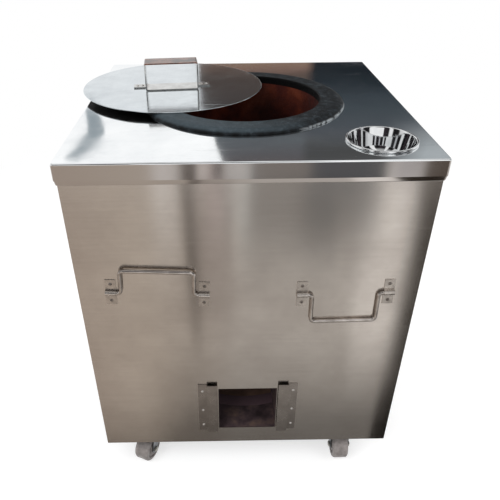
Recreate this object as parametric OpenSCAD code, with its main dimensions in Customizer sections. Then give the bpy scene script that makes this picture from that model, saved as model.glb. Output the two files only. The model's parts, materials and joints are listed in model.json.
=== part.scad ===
// Clay tandoor oven: a fired clay pot, packed in insulation, in a stainless cabinet on castors.
// The front faces -Y and +Z is up. Left and right are those of someone who faces the front.
// The origin lies on the floor under the middle of the whole, overhanging lid included.

/* [Cabinet] */
// Width and depth of the square top
top_w = 762; // [740:2:800]
// Height of the top above the floor
top_h = 914; // [880:1:960]
// Thickness of the top sheet
top_t = 2; // [1:0.1:3]
// Depth of the turned-down edge of the top
lip_h = 46; // [30:1:70]
// Gap between the turned-down edge and the walls
lip_gap = 4; // [2:0.5:8]
// Radius of the top's upright corners
corner_r = 4; // [3:0.5:8]
// Thickness of the wall sheets
wall_t = 1.5; // [1:0.1:2.5]

/* [Frame] */
// Leg width of the base angle
base_leg = 40; // [32:1:50]
// Thickness of the base angle and of the castor rails
base_t = 4; // [3:0.5:6]
// Leg width of the corner posts
post_leg = 30; // [20:1:40]
// Thickness of the corner posts
post_t = 3; // [2:0.5:4]
// Leg width of the angle under the top
top_leg = 20; // [14:1:22]
// Thickness of the angle under the top
top_leg_t = 3; // [2:0.5:4]
// Width of the rails that carry the castors
rail_w = 100; // [84:1:120]
// Thickness of the bottom plate
floor_t = 3; // [2:0.5:5]

/* [Mouth] */
// Radius of the mouth
mouth_r = 186; // [170:1:192]
// Width of the collar round the mouth
collar_w = 59; // [54:1:62]
// Height of the collar above the top
collar_h = 12; // [10:1:20]
// Height of the collar's upright outer edge
collar_edge_h = 3; // [3:0.5:8]
// Width of the collar's flat seat
collar_flat_w = 44; // [40:1:48]
// Wall of the sleeve that lines the mouth
sleeve_t = 7; // [4:0.5:12]
// Reach of that sleeve below the top's surface
sleeve_drop = 6; // [4:0.5:12]
// Radius of the collar's inner edge
mouth_round = 2; // [1:0.5:3]

/* [Clay pot] */
// Thickness of the clay
pot_wall = 35; // [28:1:38]
// Inner radius of the pot below its shoulder
belly_r = 265; // [240:1:272]
// Height at which the shoulder starts to close in
shoulder_z = 420; // [380:5:520]
// Length of the straight neck, from the top's surface down
neck_l = 34; // [24:1:60]
// Gap between the neck and the hole in the top
neck_gap = 5; // [3:0.5:8]
// Gap round the insulation
packing_gap = 1; // [0.5:0.5:4]
// Room left between the dip bowl and the insulation
packing_room = 12; // [6:1:30]
// Gap between the hearth slab and the castors' inner bolts
slab_gap = 38; // [20:1:50]

/* [Ash opening] */
// Width of the opening
ash_w = 148; // [120:1:160]
// Height of the opening
ash_h = 146; // [120:1:160]
// Sideways place of its middle
ash_x = 2; // [-10:0.5:10]
// Height of its lower edge above the floor
ash_z = 156; // [140:1:180]
// Thickness of the tunnel's sheet
tunnel_t = 2; // [1.5:0.5:4]

/* [Shutter guides] */
// Length of each guide
guide_l = 170; // [160:1:200]
// Reach of the guides below the opening
guide_drop = 6; // [4:1:14]
// Width of the raised strip
guide_face = 25; // [18:1:35]
// Width of the riveted flange
guide_flange = 24; // [16:1:30]
// Depth of the slot behind the raised strip
guide_slot = 6.5; // [5:0.5:9]
// Thickness of the guide's sheet
guide_t = 1.5; // [1:0.1:2]
// Distance from the opening to the raised strip
guide_setback = 2.5; // [1:0.5:4]
// Height of the lowest rivet above the guide's foot
guide_rivet_low = 22; // [10:1:30]
// Height of the middle rivet above the guide's foot
guide_rivet_mid = 77; // [60:1:100]
// Distance from the top rivet to the guide's upper end
guide_rivet_top = 25; // [10:1:40]

/* [Carry handles] */
// Radius of the rod
rod_r = 4.5; // [4:0.1:5.5]
// Radius of the rod's bends, to its centre line
bend_r = 10; // [8:0.5:14]
// Distance from the left wall to the middle of the left handle
left_handle_in = 174.5; // [165:0.5:195]
// Height of the left handle's pivots above the floor
left_handle_z = 605.5; // [560:0.5:640]
// Distance between the legs of the left handle
left_handle_w = 160; // [140:1:170]
// Distance from the left handle's pivot line to its grip
left_handle_drop = 62; // [55:0.5:80]
// Slope of the left handle, down to the right
left_handle_tilt = 2.7; // [-4:0.1:4]
// Lean of the left handle away from the wall, as it stands up
left_handle_lean = 4; // [0:0.5:20]
// Distance from the right wall to the middle of the right handle
right_handle_in = 161; // [155:0.5:190]
// Height of the right handle's pivots above the floor
right_handle_z = 599.5; // [560:0.5:640]
// Distance between the legs of the right handle
right_handle_w = 147; // [130:1:170]
// Distance from the right handle's pivot line to its grip
right_handle_drop = 76; // [55:0.5:80]
// Slope of the right handle, down to the right
right_handle_tilt = -1.1; // [-4:0.1:4]
// Straight length of each stub
stub_l = 24.5; // [22:0.5:32]
// Gap between the rod and the wall
rod_gap = 0.3; // [0.2:0.1:1]
// Width of the clamps
clamp_w = 23.5; // [20:0.5:24]
// Height of the clamps
clamp_h = 66; // [60:1:72]
// Thickness of the clamps
clamp_t = 1.5; // [1:0.1:2]
// Distance from the pivot line to each rivet
clamp_rivet_z = 22; // [18:0.5:25]

/* [Rivets] */
// Radius of a rivet's domed head
head_r = 4; // [3:0.1:5]
// Height of a rivet's domed head
head_h = 2; // [1.5:0.1:2.5]
// Radius of a rivet's shank
shank_r = 2; // [1.5:0.1:2.5]
// Radius of a rivet's closed end
tail_r = 3; // [2.6:0.1:3.5]
// Height of a rivet's closed end
tail_h = 1.2; // [0.8:0.1:2]

/* [Lid] */
// Radius of the lid
lid_r = 230; // [222:1:240]
// Thickness of the lid
lid_t = 2; // [1.5:0.1:3]
// Sideways place of the lid's middle, slid off the mouth
lid_x = -179; // [-185:1:-165]
// Place of the lid's middle towards the back
lid_y = 102; // [90:1:108]
// Turn of the lid and its handle
lid_turn = 5; // [-10:1:10]

/* [Lid handle] */
// Width of the strip loop
loop_w = 133; // [110:1:140]
// Depth of the strip loop
loop_d = 55; // [40:1:60]
// Height of the strip loop
loop_h = 66; // [55:1:80]
// Thickness of the strip
loop_t = 3; // [2:0.5:4]
// Radius of the loop's corners
loop_round = 4; // [3.5:0.5:8]
// Distance from the lid's middle forward to the loop's middle
loop_shift = 26; // [0:1:30]
// Distance from the lid's middle sideways to the loop's middle
loop_x = -3; // [-6:0.5:6]
// Length of each lug
lug_l = 31; // [28:1:38]
// Depth of each lug
lug_d = 28; // [20:1:36]
// Distance between the two rivets in a lug
lug_rivet_gap = 13; // [10:0.5:15]

/* [Dip bowl] */
// Distance from the top's right edge to the bowl's middle
bowl_in_x = 109; // [107:1:131]
// Distance from the top's front edge to the bowl's middle
bowl_in_y = 101; // [100:1:121]
// Radius of the hole that the bowl hangs in
bowl_r = 70; // [60:0.5:71]
// Depth of the bowl
bowl_depth = 50; // [40:1:58]
// Lean of the bowl's wall, outwards going up
bowl_lean = 14; // [8:1:20]
// Radius between the bowl's wall and its flat bottom
bowl_corner_r = 24; // [16:1:30]
// Thickness of the bowl's sheet
bowl_t = 1.2; // [0.8:0.1:2]
// Radius of the rolled rim
rim_t = 2.5; // [2:0.1:3.5]
// Gap between the bowl and its hole
bowl_gap = 0.3; // [0.3:0.1:0.6]

/* [Castors] */
// Height of the castors, which is where the body starts
castor_h = 101; // [98:1:120]
// Distance from the side walls to the castors' pivots
castor_in_x = 110; // [85:1:135]
// Distance from the front and back walls to the castors' pivots
castor_in_y = 64; // [57:1:75]
// Turn of the front left castor
front_left_turn = -25; // [-180:1:180]
// Turn of the front right castor
front_right_turn = 0; // [-180:1:180]
// Turn of the back left castor
back_left_turn = 10; // [-180:1:180]
// Turn of the back right castor
back_right_turn = -8; // [-180:1:180]
// Distance from the pivot back to the axle
trail = 28; // [22:1:30]
// Radius of the wheel
wheel_r = 37.5; // [34:0.5:38]
// Width of the wheel
wheel_w = 42; // [32:1:44]
// Radius of the wheel's shoulders
wheel_round = 7; // [3:0.5:10]
// Radius of the wheel's hub face
hub_r = 17; // [14:0.5:20]
// Depth of the recess round the hub
hub_recess = 4; // [2:0.5:6]
// Gap between the wheel and each fork leg
fork_gap = 1; // [0.5:0.1:2]
// Thickness of the fork
fork_t = 3.5; // [3:0.5:5]
// Radius of the axle
axle_r = 5; // [4:0.5:6]
// Wall of the bush that the wheel turns on
bush_t = 2.5; // [1.5:0.5:4]
// Radius of the swivel pin
pin_r = 6; // [5:0.5:8]
// Height of the swivel pin's head
pin_head_h = 3; // [2:0.5:4]
// Radius of the swivel's cup
cup_r = 28; // [26:0.5:30]
// Height of the swivel's cup
cup_h = 6; // [4:0.5:7]
// Thickness of the washer between cup and fork
washer_t = 2; // [1:0.5:3]
// Length of the castor's plate, front to back
plate_l = 85; // [80:1:88]
// Width of the castor's plate
plate_w = 76; // [74:1:80]
// Thickness of the castor's plate
plate_t = 3; // [2.5:0.5:4]
// Distance between the bolts, sideways
bolt_gap_x = 54; // [50:1:58]
// Distance between the bolts, front to back
bolt_gap_y = 60; // [58:1:64]
// Radius of the castor bolts
bolt_r = 4; // [3:0.5:5]

/* [Hidden] */

// Finish of the round faces
fine = 96;
small = 32;
// A cut runs this far past what it cuts
past = 1;
// Running clearance of a pin in its bore
play = 0.05;
// Gap between pieces that move past each other
clear = 0.3;

// Cabinet
body_w = top_w - 2 * (top_t + lip_gap);
body_half = body_w / 2;
inside_half = body_half - wall_t;
wall_top = top_h - top_t;
floor_z = castor_h + base_t;
floor_top = floor_z + floor_t;

// Mouth, pot and hearth
collar_r = mouth_r + collar_w;
collar_top = top_h + collar_h;
rim_z = top_h - sleeve_drop;
neck_z = top_h - neck_l;
top_hole_r = mouth_r + pot_wall + neck_gap;
pot_r = belly_r + pot_wall;
hearth_z = ash_z - tunnel_t;
shoulder_steps = 12;
packing_half = inside_half - base_t - packing_gap;
packing_top = top_h - bowl_depth - packing_room;

// Dip bowl
bowl_x = top_w / 2 - bowl_in_x;
bowl_y = bowl_in_y - top_w / 2;
dish_r = bowl_r - bowl_gap;

// Front
front_y = -body_half;
guide_z = ash_z - guide_drop;
guide_rivet_z = [guide_rivet_low, guide_rivet_mid, guide_l - guide_rivet_top];
rod_out = rod_gap + rod_r;
clamp_x = clear + bend_r + stub_l / 2;
LEFT_HANDLE = [left_handle_in - body_half, left_handle_z, left_handle_tilt, left_handle_w];
RIGHT_HANDLE = [body_half - right_handle_in, right_handle_z, right_handle_tilt, right_handle_w];

// Lid and its handle
lid_top = collar_top + lid_t;
loop_y = -loop_shift;
lug_y = loop_d / 2 - lug_d / 2;

// Castors
castor_x = body_half - castor_in_x;
castor_y = body_half - castor_in_y;
slab_r = norm([castor_x - bolt_gap_x / 2, castor_y - bolt_gap_y / 2]) - slab_gap;
FRONT_LEFT = [-1, -1, front_left_turn];
FRONT_RIGHT = [1, -1, front_right_turn];
BACK_LEFT = [-1, 1, back_left_turn];
BACK_RIGHT = [1, 1, back_right_turn];
CASTORS = [FRONT_LEFT, FRONT_RIGHT, BACK_LEFT, BACK_RIGHT];
plate_z = castor_h - plate_t;
cup_z = plate_z - cup_h;
crown_top = cup_z - washer_t - clear;
crown_z = crown_top - fork_t;
crown_r = cup_r - 2;
pin_head_z = crown_z - clear - pin_head_h;
pin_head_r = 1.5 * pin_r;
fork_half = wheel_w / 2 + fork_gap;
fork_w = 2 * (fork_half + fork_t);
bush_r = axle_r + bush_t;
boss_r = axle_r + 7;
axle_head_r = 1.6 * axle_r;
axle_head_h = 0.8 * axle_r;
bolt_grip = plate_t + base_t + floor_t;
bolt_head_r = 1.8 * bolt_r;
bolt_head_h = 1.3 * bolt_r;
bolt_hole_r = bolt_r + 0.25;
// A thread runs this far past its nut
thread_end = 1.2;

// The body stands a little to the right, which brings the whole, with its lid, over the origin.
body_x = -(lid_x - lid_r + top_w / 2) / 2;

steel = "gainsboro";
dark_steel = "dimgray";
frame_steel = "slategray";

// Moves what is drawn about the body's own axis to its place in the whole.
module oven() {
  translate([body_x, 0, 0]) children();
}

// Rectangle with round corners, about the origin.
module rounded_square(w, d, r) {
  square([w - 2 * r, d], center = true);
  square([w, d - 2 * r], center = true);
  for (x = [-1, 1], y = [-1, 1]) {
    translate([x * (w / 2 - r), y * (d / 2 - r)]) circle(r, $fn = small);
  }
}

// Square block about the axis, from one height to another.
module slab(w, z0, z1) {
  translate([-w / 2, -w / 2, z0]) cube([w, w, z1 - z0]);
}

// Upright cylinder from one height to another.
module post(r, z0, z1, sides = fine) {
  translate([0, 0, z0]) cylinder(r = r, h = z1 - z0, $fn = sides);
}

// Domed rivet whose head sits at z = 0 and whose shank runs down through the grip.
module rivet(grip) {
  ball_r = (head_r * head_r + head_h * head_h) / (2 * head_h);
  intersection() {
    translate([0, 0, head_h - ball_r]) sphere(r = ball_r, $fn = small);
    post(head_r + past, 0, head_h + past, small);
  }
  post(shank_r, -grip, head_h / 2, small);
  post(tail_r, -grip - tail_h, -grip, small);
}

// Places a rivet or a bore square to the front wall, at a height and a sideways place.
module on_front(x, z, out) {
  translate([x, front_y - out, z]) rotate([90, 0, 0]) children();
}

// Places what belongs to a carry handle, from the middle of its pivot line on the wall.
module at_handle(h) {
  translate([h[0], front_y, h[1]]) rotate([0, h[2], 0]) children();
}

// Repeats what it is given at the rivets of both handles' clamps.
module at_clamp_rivets(out) {
  for (h = [LEFT_HANDLE, RIGHT_HANDLE]) at_handle(h) for (s = [-1, 1], t = [-1, 1]) {
    translate([s * (h[3] / 2 + clamp_x), -out, t * clamp_rivet_z]) rotate([90, 0, 0]) children();
  }
}

function guide_rivet_x() = [
  for (s = [-1, 1])
    ash_x + s * (ash_w / 2 + guide_setback + guide_face + guide_flange / 2 + guide_t / 2)
];

module top_plate() {
  color(steel) oven() difference() {
    translate([0, 0, top_h - lip_h]) linear_extrude(lip_h) rounded_square(top_w, top_w, corner_r);
    translate([0, 0, top_h - lip_h - past]) linear_extrude(lip_h - top_t + past)
      rounded_square(top_w - 2 * top_t, top_w - 2 * top_t, corner_r - top_t / 2);
    post(top_hole_r, wall_top - past, top_h + past);
    translate([bowl_x, bowl_y, 0]) post(bowl_r, wall_top - past, top_h + past);
  }
}

module front_panel() {
  color(steel) oven() difference() {
    translate([-body_half, front_y, castor_h]) cube([body_w, wall_t, wall_top - castor_h]);
    translate([ash_x - ash_w / 2, front_y - past, ash_z]) cube([ash_w, wall_t + 2 * past, ash_h]);
    at_clamp_rivets(0) post(shank_r + play, -wall_t - past, past, small);
    for (x = guide_rivet_x(), z = guide_rivet_z) {
      on_front(x, guide_z + z, 0) post(shank_r + play, -wall_t - past, past, small);
    }
  }
}

module back_panel() {
  color(steel) oven()
    translate([-body_half, inside_half, castor_h]) cube([body_w, wall_t, wall_top - castor_h]);
}

module side_panel(side) {
  color(steel) oven() translate([side * (body_half - wall_t / 2) - wall_t / 2, 0, 0])
    translate([0, -inside_half, castor_h]) cube([wall_t, 2 * inside_half, wall_top - castor_h]);
}

// Repeats what it is given at every bolt of the four castors.
module at_bolts() {
  for (c = CASTORS, x = [-1, 1], y = [-1, 1]) {
    translate([c[0] * castor_x + x * bolt_gap_x / 2, c[1] * castor_y + y * bolt_gap_y / 2, 0])
      children();
  }
}

module castor_bolt_holes(z0, z1) {
  at_bolts() post(bolt_hole_r, z0, z1, small);
}

// Angle ring whose flat legs lie at the bottom and whose upright legs stand against the walls.
module base_frame() {
  color(frame_steel) oven() difference() {
    slab(2 * inside_half, castor_h, castor_h + base_leg);
    slab(2 * (inside_half - base_t), floor_z, castor_h + base_leg + past);
    slab(2 * (inside_half - base_leg), castor_h - past, floor_z + past);
    castor_bolt_holes(castor_h - past, floor_z + past);
  }
}

module castor_rails() {
  rail_l = 2 * (inside_half - base_leg);
  color(frame_steel) oven() difference() {
    for (s = [-1, 1]) {
      translate([s * castor_x - rail_w / 2, -rail_l / 2, castor_h]) cube([rail_w, rail_l, base_t]);
    }
    castor_bolt_holes(castor_h - past, floor_z + past);
  }
}

module corner_posts() {
  z0 = castor_h + base_leg;
  z1 = wall_top - top_leg;
  color(frame_steel) oven() for (x = [0, 1], y = [0, 1]) mirror([x, 0, 0]) mirror([0, y, 0]) {
    difference() {
      translate([inside_half - post_leg, inside_half - post_leg, z0])
        cube([post_leg, post_leg, z1 - z0]);
      translate([inside_half - post_leg - past, inside_half - post_leg - past, z0 - past])
        cube([post_leg - post_t + past, post_leg - post_t + past, z1 - z0 + 2 * past]);
    }
  }
}

module top_frame() {
  color(frame_steel) oven() difference() {
    slab(2 * inside_half, wall_top - top_leg, wall_top);
    slab(2 * (inside_half - top_leg_t), wall_top - top_leg - past, wall_top - top_leg_t);
    slab(2 * (inside_half - top_leg), wall_top - top_leg - past, wall_top + past);
  }
}

module bottom_plate() {
  color(frame_steel) oven() difference() {
    slab(2 * (inside_half - base_t - clear), floor_z, floor_top);
    castor_bolt_holes(floor_z - past, floor_top + past);
  }
}

module hearth_slab() {
  color("rosybrown") oven() post(slab_r, floor_top, hearth_z);
}

// Inner radius of the pot's shoulder, from 0 at its foot to 1 at the neck.
function shoulder_r(t) = mouth_r + (belly_r - mouth_r) * (1 + cos(180 * t)) / 2;

// Side of the pot from the hearth to the rim, set out by a wall's thickness.
function pot_side(out) = [
  [belly_r + out, hearth_z],
  for (i = [0:shoulder_steps])
    [
      shoulder_r(i / shoulder_steps) + out,
      shoulder_z + (neck_z - shoulder_z) * i / shoulder_steps
    ],
  [mouth_r + out, rim_z]
];

module pot_body(out) {
  rotate_extrude($fn = fine) polygon(concat([[0, hearth_z]], pot_side(out), [[0, rim_z]]));
}

// The way in for air and the way out for ash, as a block from the front wall to the pot.
module ash_way(extra, y0, y1) {
  translate([ash_x - ash_w / 2 - extra, y0, ash_z - extra])
    cube([ash_w + 2 * extra, y1 - y0, ash_h + 2 * extra]);
}

module clay_pot() {
  inner = pot_side(0);
  outer = pot_side(pot_wall);
  last = len(outer) - 1;
  color("sienna") oven() difference() {
    rotate_extrude($fn = fine)
      polygon(concat(inner, [for (i = [last:-1:0]) outer[i]]));
    ash_way(0, -pot_r - past, -belly_r / 2);
  }
}

// Ring that covers the pot's rim and the edge of the top; its flat seat carries the lid.
module mouth_collar() {
  color(dark_steel) oven() rotate_extrude($fn = fine) {
    difference() {
      polygon([
        [mouth_r, rim_z],
        [mouth_r, collar_top],
        [mouth_r + collar_flat_w, collar_top],
        [collar_r, top_h + collar_edge_h],
        [collar_r, top_h],
        [mouth_r + sleeve_t, top_h],
        [mouth_r + sleeve_t, rim_z]
      ]);
      difference() {
        translate([mouth_r - past, collar_top - mouth_round])
          square([mouth_round + past, mouth_round + past]);
        translate([mouth_r + mouth_round, collar_top - mouth_round])
          circle(mouth_round, $fn = small);
      }
    }
  }
}

// Block packed round the pot and the tunnel, with its corners cut back for the posts.
module insulation() {
  corner = inside_half - post_leg - packing_gap;
  color("khaki") oven() difference() {
    slab(2 * packing_half, hearth_z, packing_top);
    for (x = [0, 1], y = [0, 1]) mirror([x, 0, 0]) mirror([0, y, 0]) {
      translate([corner, corner, hearth_z - past])
        cube([post_leg + past, post_leg + past, packing_top - hearth_z + 2 * past]);
    }
    translate([0, 0, -past]) pot_body(pot_wall + packing_gap);
    pot_body(pot_wall + packing_gap);
    ash_way(tunnel_t + packing_gap, -packing_half - past, 0);
  }
}

module ash_tunnel() {
  color(dark_steel) oven() difference() {
    ash_way(tunnel_t, front_y + wall_t, -pot_r / 2);
    ash_way(0, front_y, 0);
    post(pot_r + clear, ash_z - 2 * tunnel_t, ash_z + ash_h + 2 * tunnel_t);
  }
}

// Folded strip with a riveted flange, a step and a raised face beside the opening.
module shutter_guide(side) {
  flange_x = guide_face + guide_flange;
  out = guide_slot + guide_t;
  color("silver") oven() difference() {
    translate([ash_x, front_y, guide_z]) mirror([side < 0 ? 1 : 0, 0, 0])
      translate([ash_w / 2 + guide_setback, 0, 0]) linear_extrude(guide_l)
        polygon([
          [0, -out],
          [guide_face + guide_t, -out],
          [guide_face + guide_t, -guide_t],
          [flange_x, -guide_t],
          [flange_x, 0],
          [guide_face, 0],
          [guide_face, -guide_slot],
          [0, -guide_slot]
        ]);
    for (x = guide_rivet_x(), z = guide_rivet_z) {
      on_front(x, guide_z + z, 0) post(shank_r + play, -past, guide_t + past, small);
    }
  }
}

module guide_rivets() {
  color("white") oven() for (x = guide_rivet_x(), z = guide_rivet_z) {
    on_front(x, guide_z + z, guide_t) rivet(guide_t + wall_t);
  }
}

// Strap clamp: two tabs on the wall and a half-round saddle over the rod's stub.
module handle_clamp() {
  bore_r = rod_r + play;
  rotate([90, 0, -90]) difference() {
    linear_extrude(clamp_w, center = true) difference() {
      union() {
        translate([0, -clamp_h / 2]) square([clamp_t, clamp_h]);
        translate([0, -bore_r - clamp_t]) square([rod_out, 2 * (bore_r + clamp_t)]);
        translate([rod_out, 0]) circle(bore_r + clamp_t, $fn = small);
      }
      translate([rod_out, 0]) circle(bore_r, $fn = small);
      translate([-past, -bore_r]) square([rod_out + past, 2 * bore_r]);
      translate([-clamp_h, -clamp_h / 2]) square([clamp_h, clamp_h]);
    }
    for (s = [-1, 1]) {
      translate([-past, s * clamp_rivet_z, 0]) rotate([0, 90, 0])
        post(shank_r + play, 0, clamp_t + 2 * past, small);
    }
  }
}

module handle_clamps(h) {
  color("silver") oven() at_handle(h) for (s = [-1, 1]) {
    translate([s * (h[3] / 2 + clamp_x), 0, 0]) handle_clamp();
  }
}

module clamp_rivets() {
  color("white") oven() at_clamp_rivets(clamp_t) rivet(clamp_t + wall_t);
}

// Quarter bend of the rod in the plane of the front, from the side round to the top.
module rod_bend() {
  rotate([90, 0, 0]) rotate_extrude(angle = 90, $fn = fine)
    translate([bend_r, 0]) circle(rod_r, $fn = small);
}

// Rod bent to a U with a stub at each end; turned 0 it stands up, turned 180 it hangs.
module carry_handle(h, drop, turned) {
  leg_x = h[3] / 2;
  color("silver") oven() at_handle(h) translate([0, -rod_out, 0]) rotate([turned, 0, 0]) {
    for (s = [0, 1]) mirror([s, 0, 0]) {
      translate([leg_x + bend_r, 0, 0]) rotate([0, 90, 0]) post(rod_r, 0, stub_l, small);
      translate([leg_x + bend_r, 0, bend_r]) rotate([0, 180, 0]) rod_bend();
      translate([leg_x, 0, 0]) post(rod_r, bend_r, drop - bend_r, small);
      translate([leg_x - bend_r, 0, drop - bend_r]) rod_bend();
    }
    translate([bend_r - leg_x, 0, drop]) rotate([0, 90, 0])
      post(rod_r, 0, 2 * (leg_x - bend_r), small);
  }
}

// Places what belongs to the lid, from the lid's own middle and turn.
module at_lid(z) {
  oven() translate([lid_x, lid_y, z]) rotate([0, 0, lid_turn]) children();
}

function lug_rivets() = [
  for (s = [-1, 1], d = [-1, 1])
    [loop_x + s * (loop_w + lug_l) / 2 + d * lug_rivet_gap / 2, loop_y + lug_y]
];

module lid() {
  color(steel) at_lid(collar_top) difference() {
    post(lid_r, 0, lid_t);
    for (p = lug_rivets()) translate(p) post(shank_r + play, -past, lid_t + past, small);
  }
}

// Closed loop of wide strip that lies on the lid, with a riveted lug on either side.
module lid_handle() {
  color(steel) at_lid(lid_top) difference() {
    union() {
      translate([loop_x, loop_y + loop_d / 2, loop_h / 2]) rotate([90, 0, 0]) linear_extrude(loop_d)
        rounded_square(loop_w, loop_h, loop_round);
      translate([loop_x, 0, 0]) for (s = [0, 1]) mirror([s, 0, 0])
        translate([loop_w / 2 - loop_round, loop_y + lug_y - lug_d / 2, 0])
          cube([lug_l + loop_round, lug_d, loop_t]);
    }
    translate([loop_x, loop_y + loop_d / 2 + past, loop_h / 2]) rotate([90, 0, 0])
      linear_extrude(loop_d + 2 * past)
        rounded_square(loop_w - 2 * loop_t, loop_h - 2 * loop_t, loop_round - loop_t / 2);
    for (p = lug_rivets()) translate(p) post(shank_r + play, -past, loop_t + past, small);
  }
}

module lid_rivets() {
  color("white") at_lid(lid_top + loop_t) for (p = lug_rivets()) {
    translate(p) rivet(loop_t + lid_t);
  }
}

// Half section of the dish, grown inwards from its outer skin by the given amount.
module dish_section(inwards, top) {
  outwards = [cos(bowl_lean), -sin(bowl_lean)];
  upwards = [sin(bowl_lean), cos(bowl_lean)];
  wall_l = (bowl_depth + top - bowl_corner_r * (1 - sin(bowl_lean))) / cos(bowl_lean);
  corner = [
    dish_r - bowl_corner_r * outwards[0] - wall_l * upwards[0],
    bowl_corner_r - bowl_depth
  ];
  foot = corner + (bowl_corner_r - inwards) * outwards;
  head = foot + (wall_l + inwards) * upwards;
  polygon([
    [0, inwards - bowl_depth],
    [corner[0], inwards - bowl_depth],
    foot,
    head,
    [0, head[1]]
  ]);
  translate(corner) circle(bowl_corner_r - inwards, $fn = fine);
}

// Deep dish that hangs in the top by its rolled rim.
module dip_bowl() {
  curl_z = rim_t + bowl_gap;
  color("white") oven() translate([bowl_x, bowl_y, top_h]) {
    rotate_extrude($fn = fine) difference() {
      dish_section(0, curl_z);
      dish_section(bowl_t, curl_z);
    }
    rotate_extrude($fn = fine) translate([dish_r + rim_t / 2, curl_z]) circle(rim_t, $fn = small);
  }
}

// Hexagonal head.
module hexagon(r, h) {
  cylinder(r = r, h = h, $fn = 6);
}

// Hexagonal nut with its bore.
module nut(r, h, bore_r) {
  difference() {
    hexagon(r, h);
    post(bore_r + play, -past, h + past, small);
  }
}

module castor_bolts() {
  color("silver") oven() translate([0, 0, plate_z]) at_bolts() {
    translate([0, 0, -bolt_head_h]) hexagon(bolt_head_r, bolt_head_h);
    post(bolt_r, -bolt_head_h / 2, bolt_grip + bolt_head_h + thread_end, small);
  }
}

module castor_nuts() {
  color("silver") oven() translate([0, 0, plate_z + bolt_grip]) at_bolts()
    nut(bolt_head_r, bolt_head_h, bolt_r);
}

// Places what belongs to one castor, turned about its pivot or square to the body.
module at_castor(c, turned = true) {
  oven() translate([c[0] * castor_x, c[1] * castor_y, 0])
    rotate([0, 0, turned ? c[2] : 0]) children();
}

// Lays what belongs to an axle along it, from its own middle.
module at_axle(c) {
  at_castor(c) translate([0, -trail, wheel_r]) rotate([0, 90, 0]) children();
}

// Plate with a cup underneath, bored for the swivel pin.
module castor_plate(c) {
  color("gray") at_castor(c, turned = false) difference() {
    union() {
      translate([-plate_w / 2, -plate_l / 2, plate_z]) cube([plate_w, plate_l, plate_t]);
      post(cup_r, cup_z, plate_z, small);
    }
    post(pin_r + play, cup_z - past, castor_h + past, small);
    for (x = [-1, 1], y = [-1, 1]) {
      translate([x * bolt_gap_x / 2, y * bolt_gap_y / 2, 0])
        post(bolt_hole_r, plate_z - past, castor_h + past, small);
    }
  }
}

// Pins that the forks turn on; the head at the foot keeps the fork from dropping off.
module swivel_pins() {
  color("silver") for (c = CASTORS) at_castor(c, turned = false) {
    post(pin_r, pin_head_z, castor_h, small);
    post(pin_head_r, pin_head_z, pin_head_z + pin_head_h, small);
  }
}

module swivel_washers() {
  color("gray") for (c = CASTORS) at_castor(c, turned = false) difference() {
    post(crown_r, cup_z - washer_t, cup_z, small);
    post(pin_r + play, cup_z - washer_t - past, cup_z + past, small);
  }
}

// Crown and two legs, which trail the pin and carry the axle.
module fork(c) {
  color("darkgray") at_castor(c) difference() {
    union() {
      post(crown_r, crown_z, crown_top, small);
      translate([-fork_w / 2, -trail, crown_z]) cube([fork_w, trail + boss_r, fork_t]);
      for (s = [-1, 1]) {
        translate([s * (fork_half + fork_t / 2), 0, 0]) rotate([90, 0, 90])
          linear_extrude(fork_t, center = true) {
            polygon([
              [-trail, crown_top],
              [boss_r, crown_top],
              [boss_r, crown_z - fork_t],
              [boss_r - trail, wheel_r],
              [-boss_r - trail, wheel_r]
            ]);
            translate([-trail, wheel_r]) circle(boss_r, $fn = small);
          }
      }
    }
    post(pin_r + play, crown_z - past, crown_top + past, small);
    translate([0, -trail, wheel_r]) rotate([0, 90, 0])
      post(axle_r + play, -fork_w / 2 - past, fork_w / 2 + past, small);
  }
}

module axle(c) {
  color("silver") at_axle(c) {
    translate([0, 0, -fork_w / 2 - axle_head_h]) hexagon(axle_head_r, axle_head_h);
    post(axle_r, -fork_w / 2 - axle_head_h / 2, fork_w / 2 + axle_head_h + thread_end, small);
  }
}

module axle_nut(c) {
  color("silver") at_axle(c) translate([0, 0, fork_w / 2]) nut(axle_head_r, axle_head_h, axle_r);
}

// Tube held between the fork's legs, on which the wheel turns.
module bush(c) {
  color("silver") at_axle(c) difference() {
    post(bush_r, -fork_half, fork_half, small);
    post(axle_r + play, -fork_half - past, fork_half + past, small);
  }
}

// One-piece wheel with round shoulders, and a recess between hub and tread on either side.
module wheel(c) {
  half = wheel_w / 2;
  bore_r = bush_r + play;
  tread_r = wheel_r - wheel_round;
  color("lightgray") at_axle(c) rotate_extrude($fn = fine) difference() {
    union() {
      translate([bore_r, -half]) square([tread_r - bore_r, wheel_w]);
      translate([bore_r, wheel_round - half]) square([wheel_r - bore_r, wheel_w - 2 * wheel_round]);
      for (s = [-1, 1]) {
        translate([tread_r, s * (half - wheel_round)]) circle(wheel_round, $fn = small);
      }
    }
    for (s = [-1, 1]) {
      translate([hub_r, s * half - hub_recess])
        square([tread_r - wheel_round / 2 - hub_r, 2 * hub_recess]);
    }
  }
}

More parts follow.
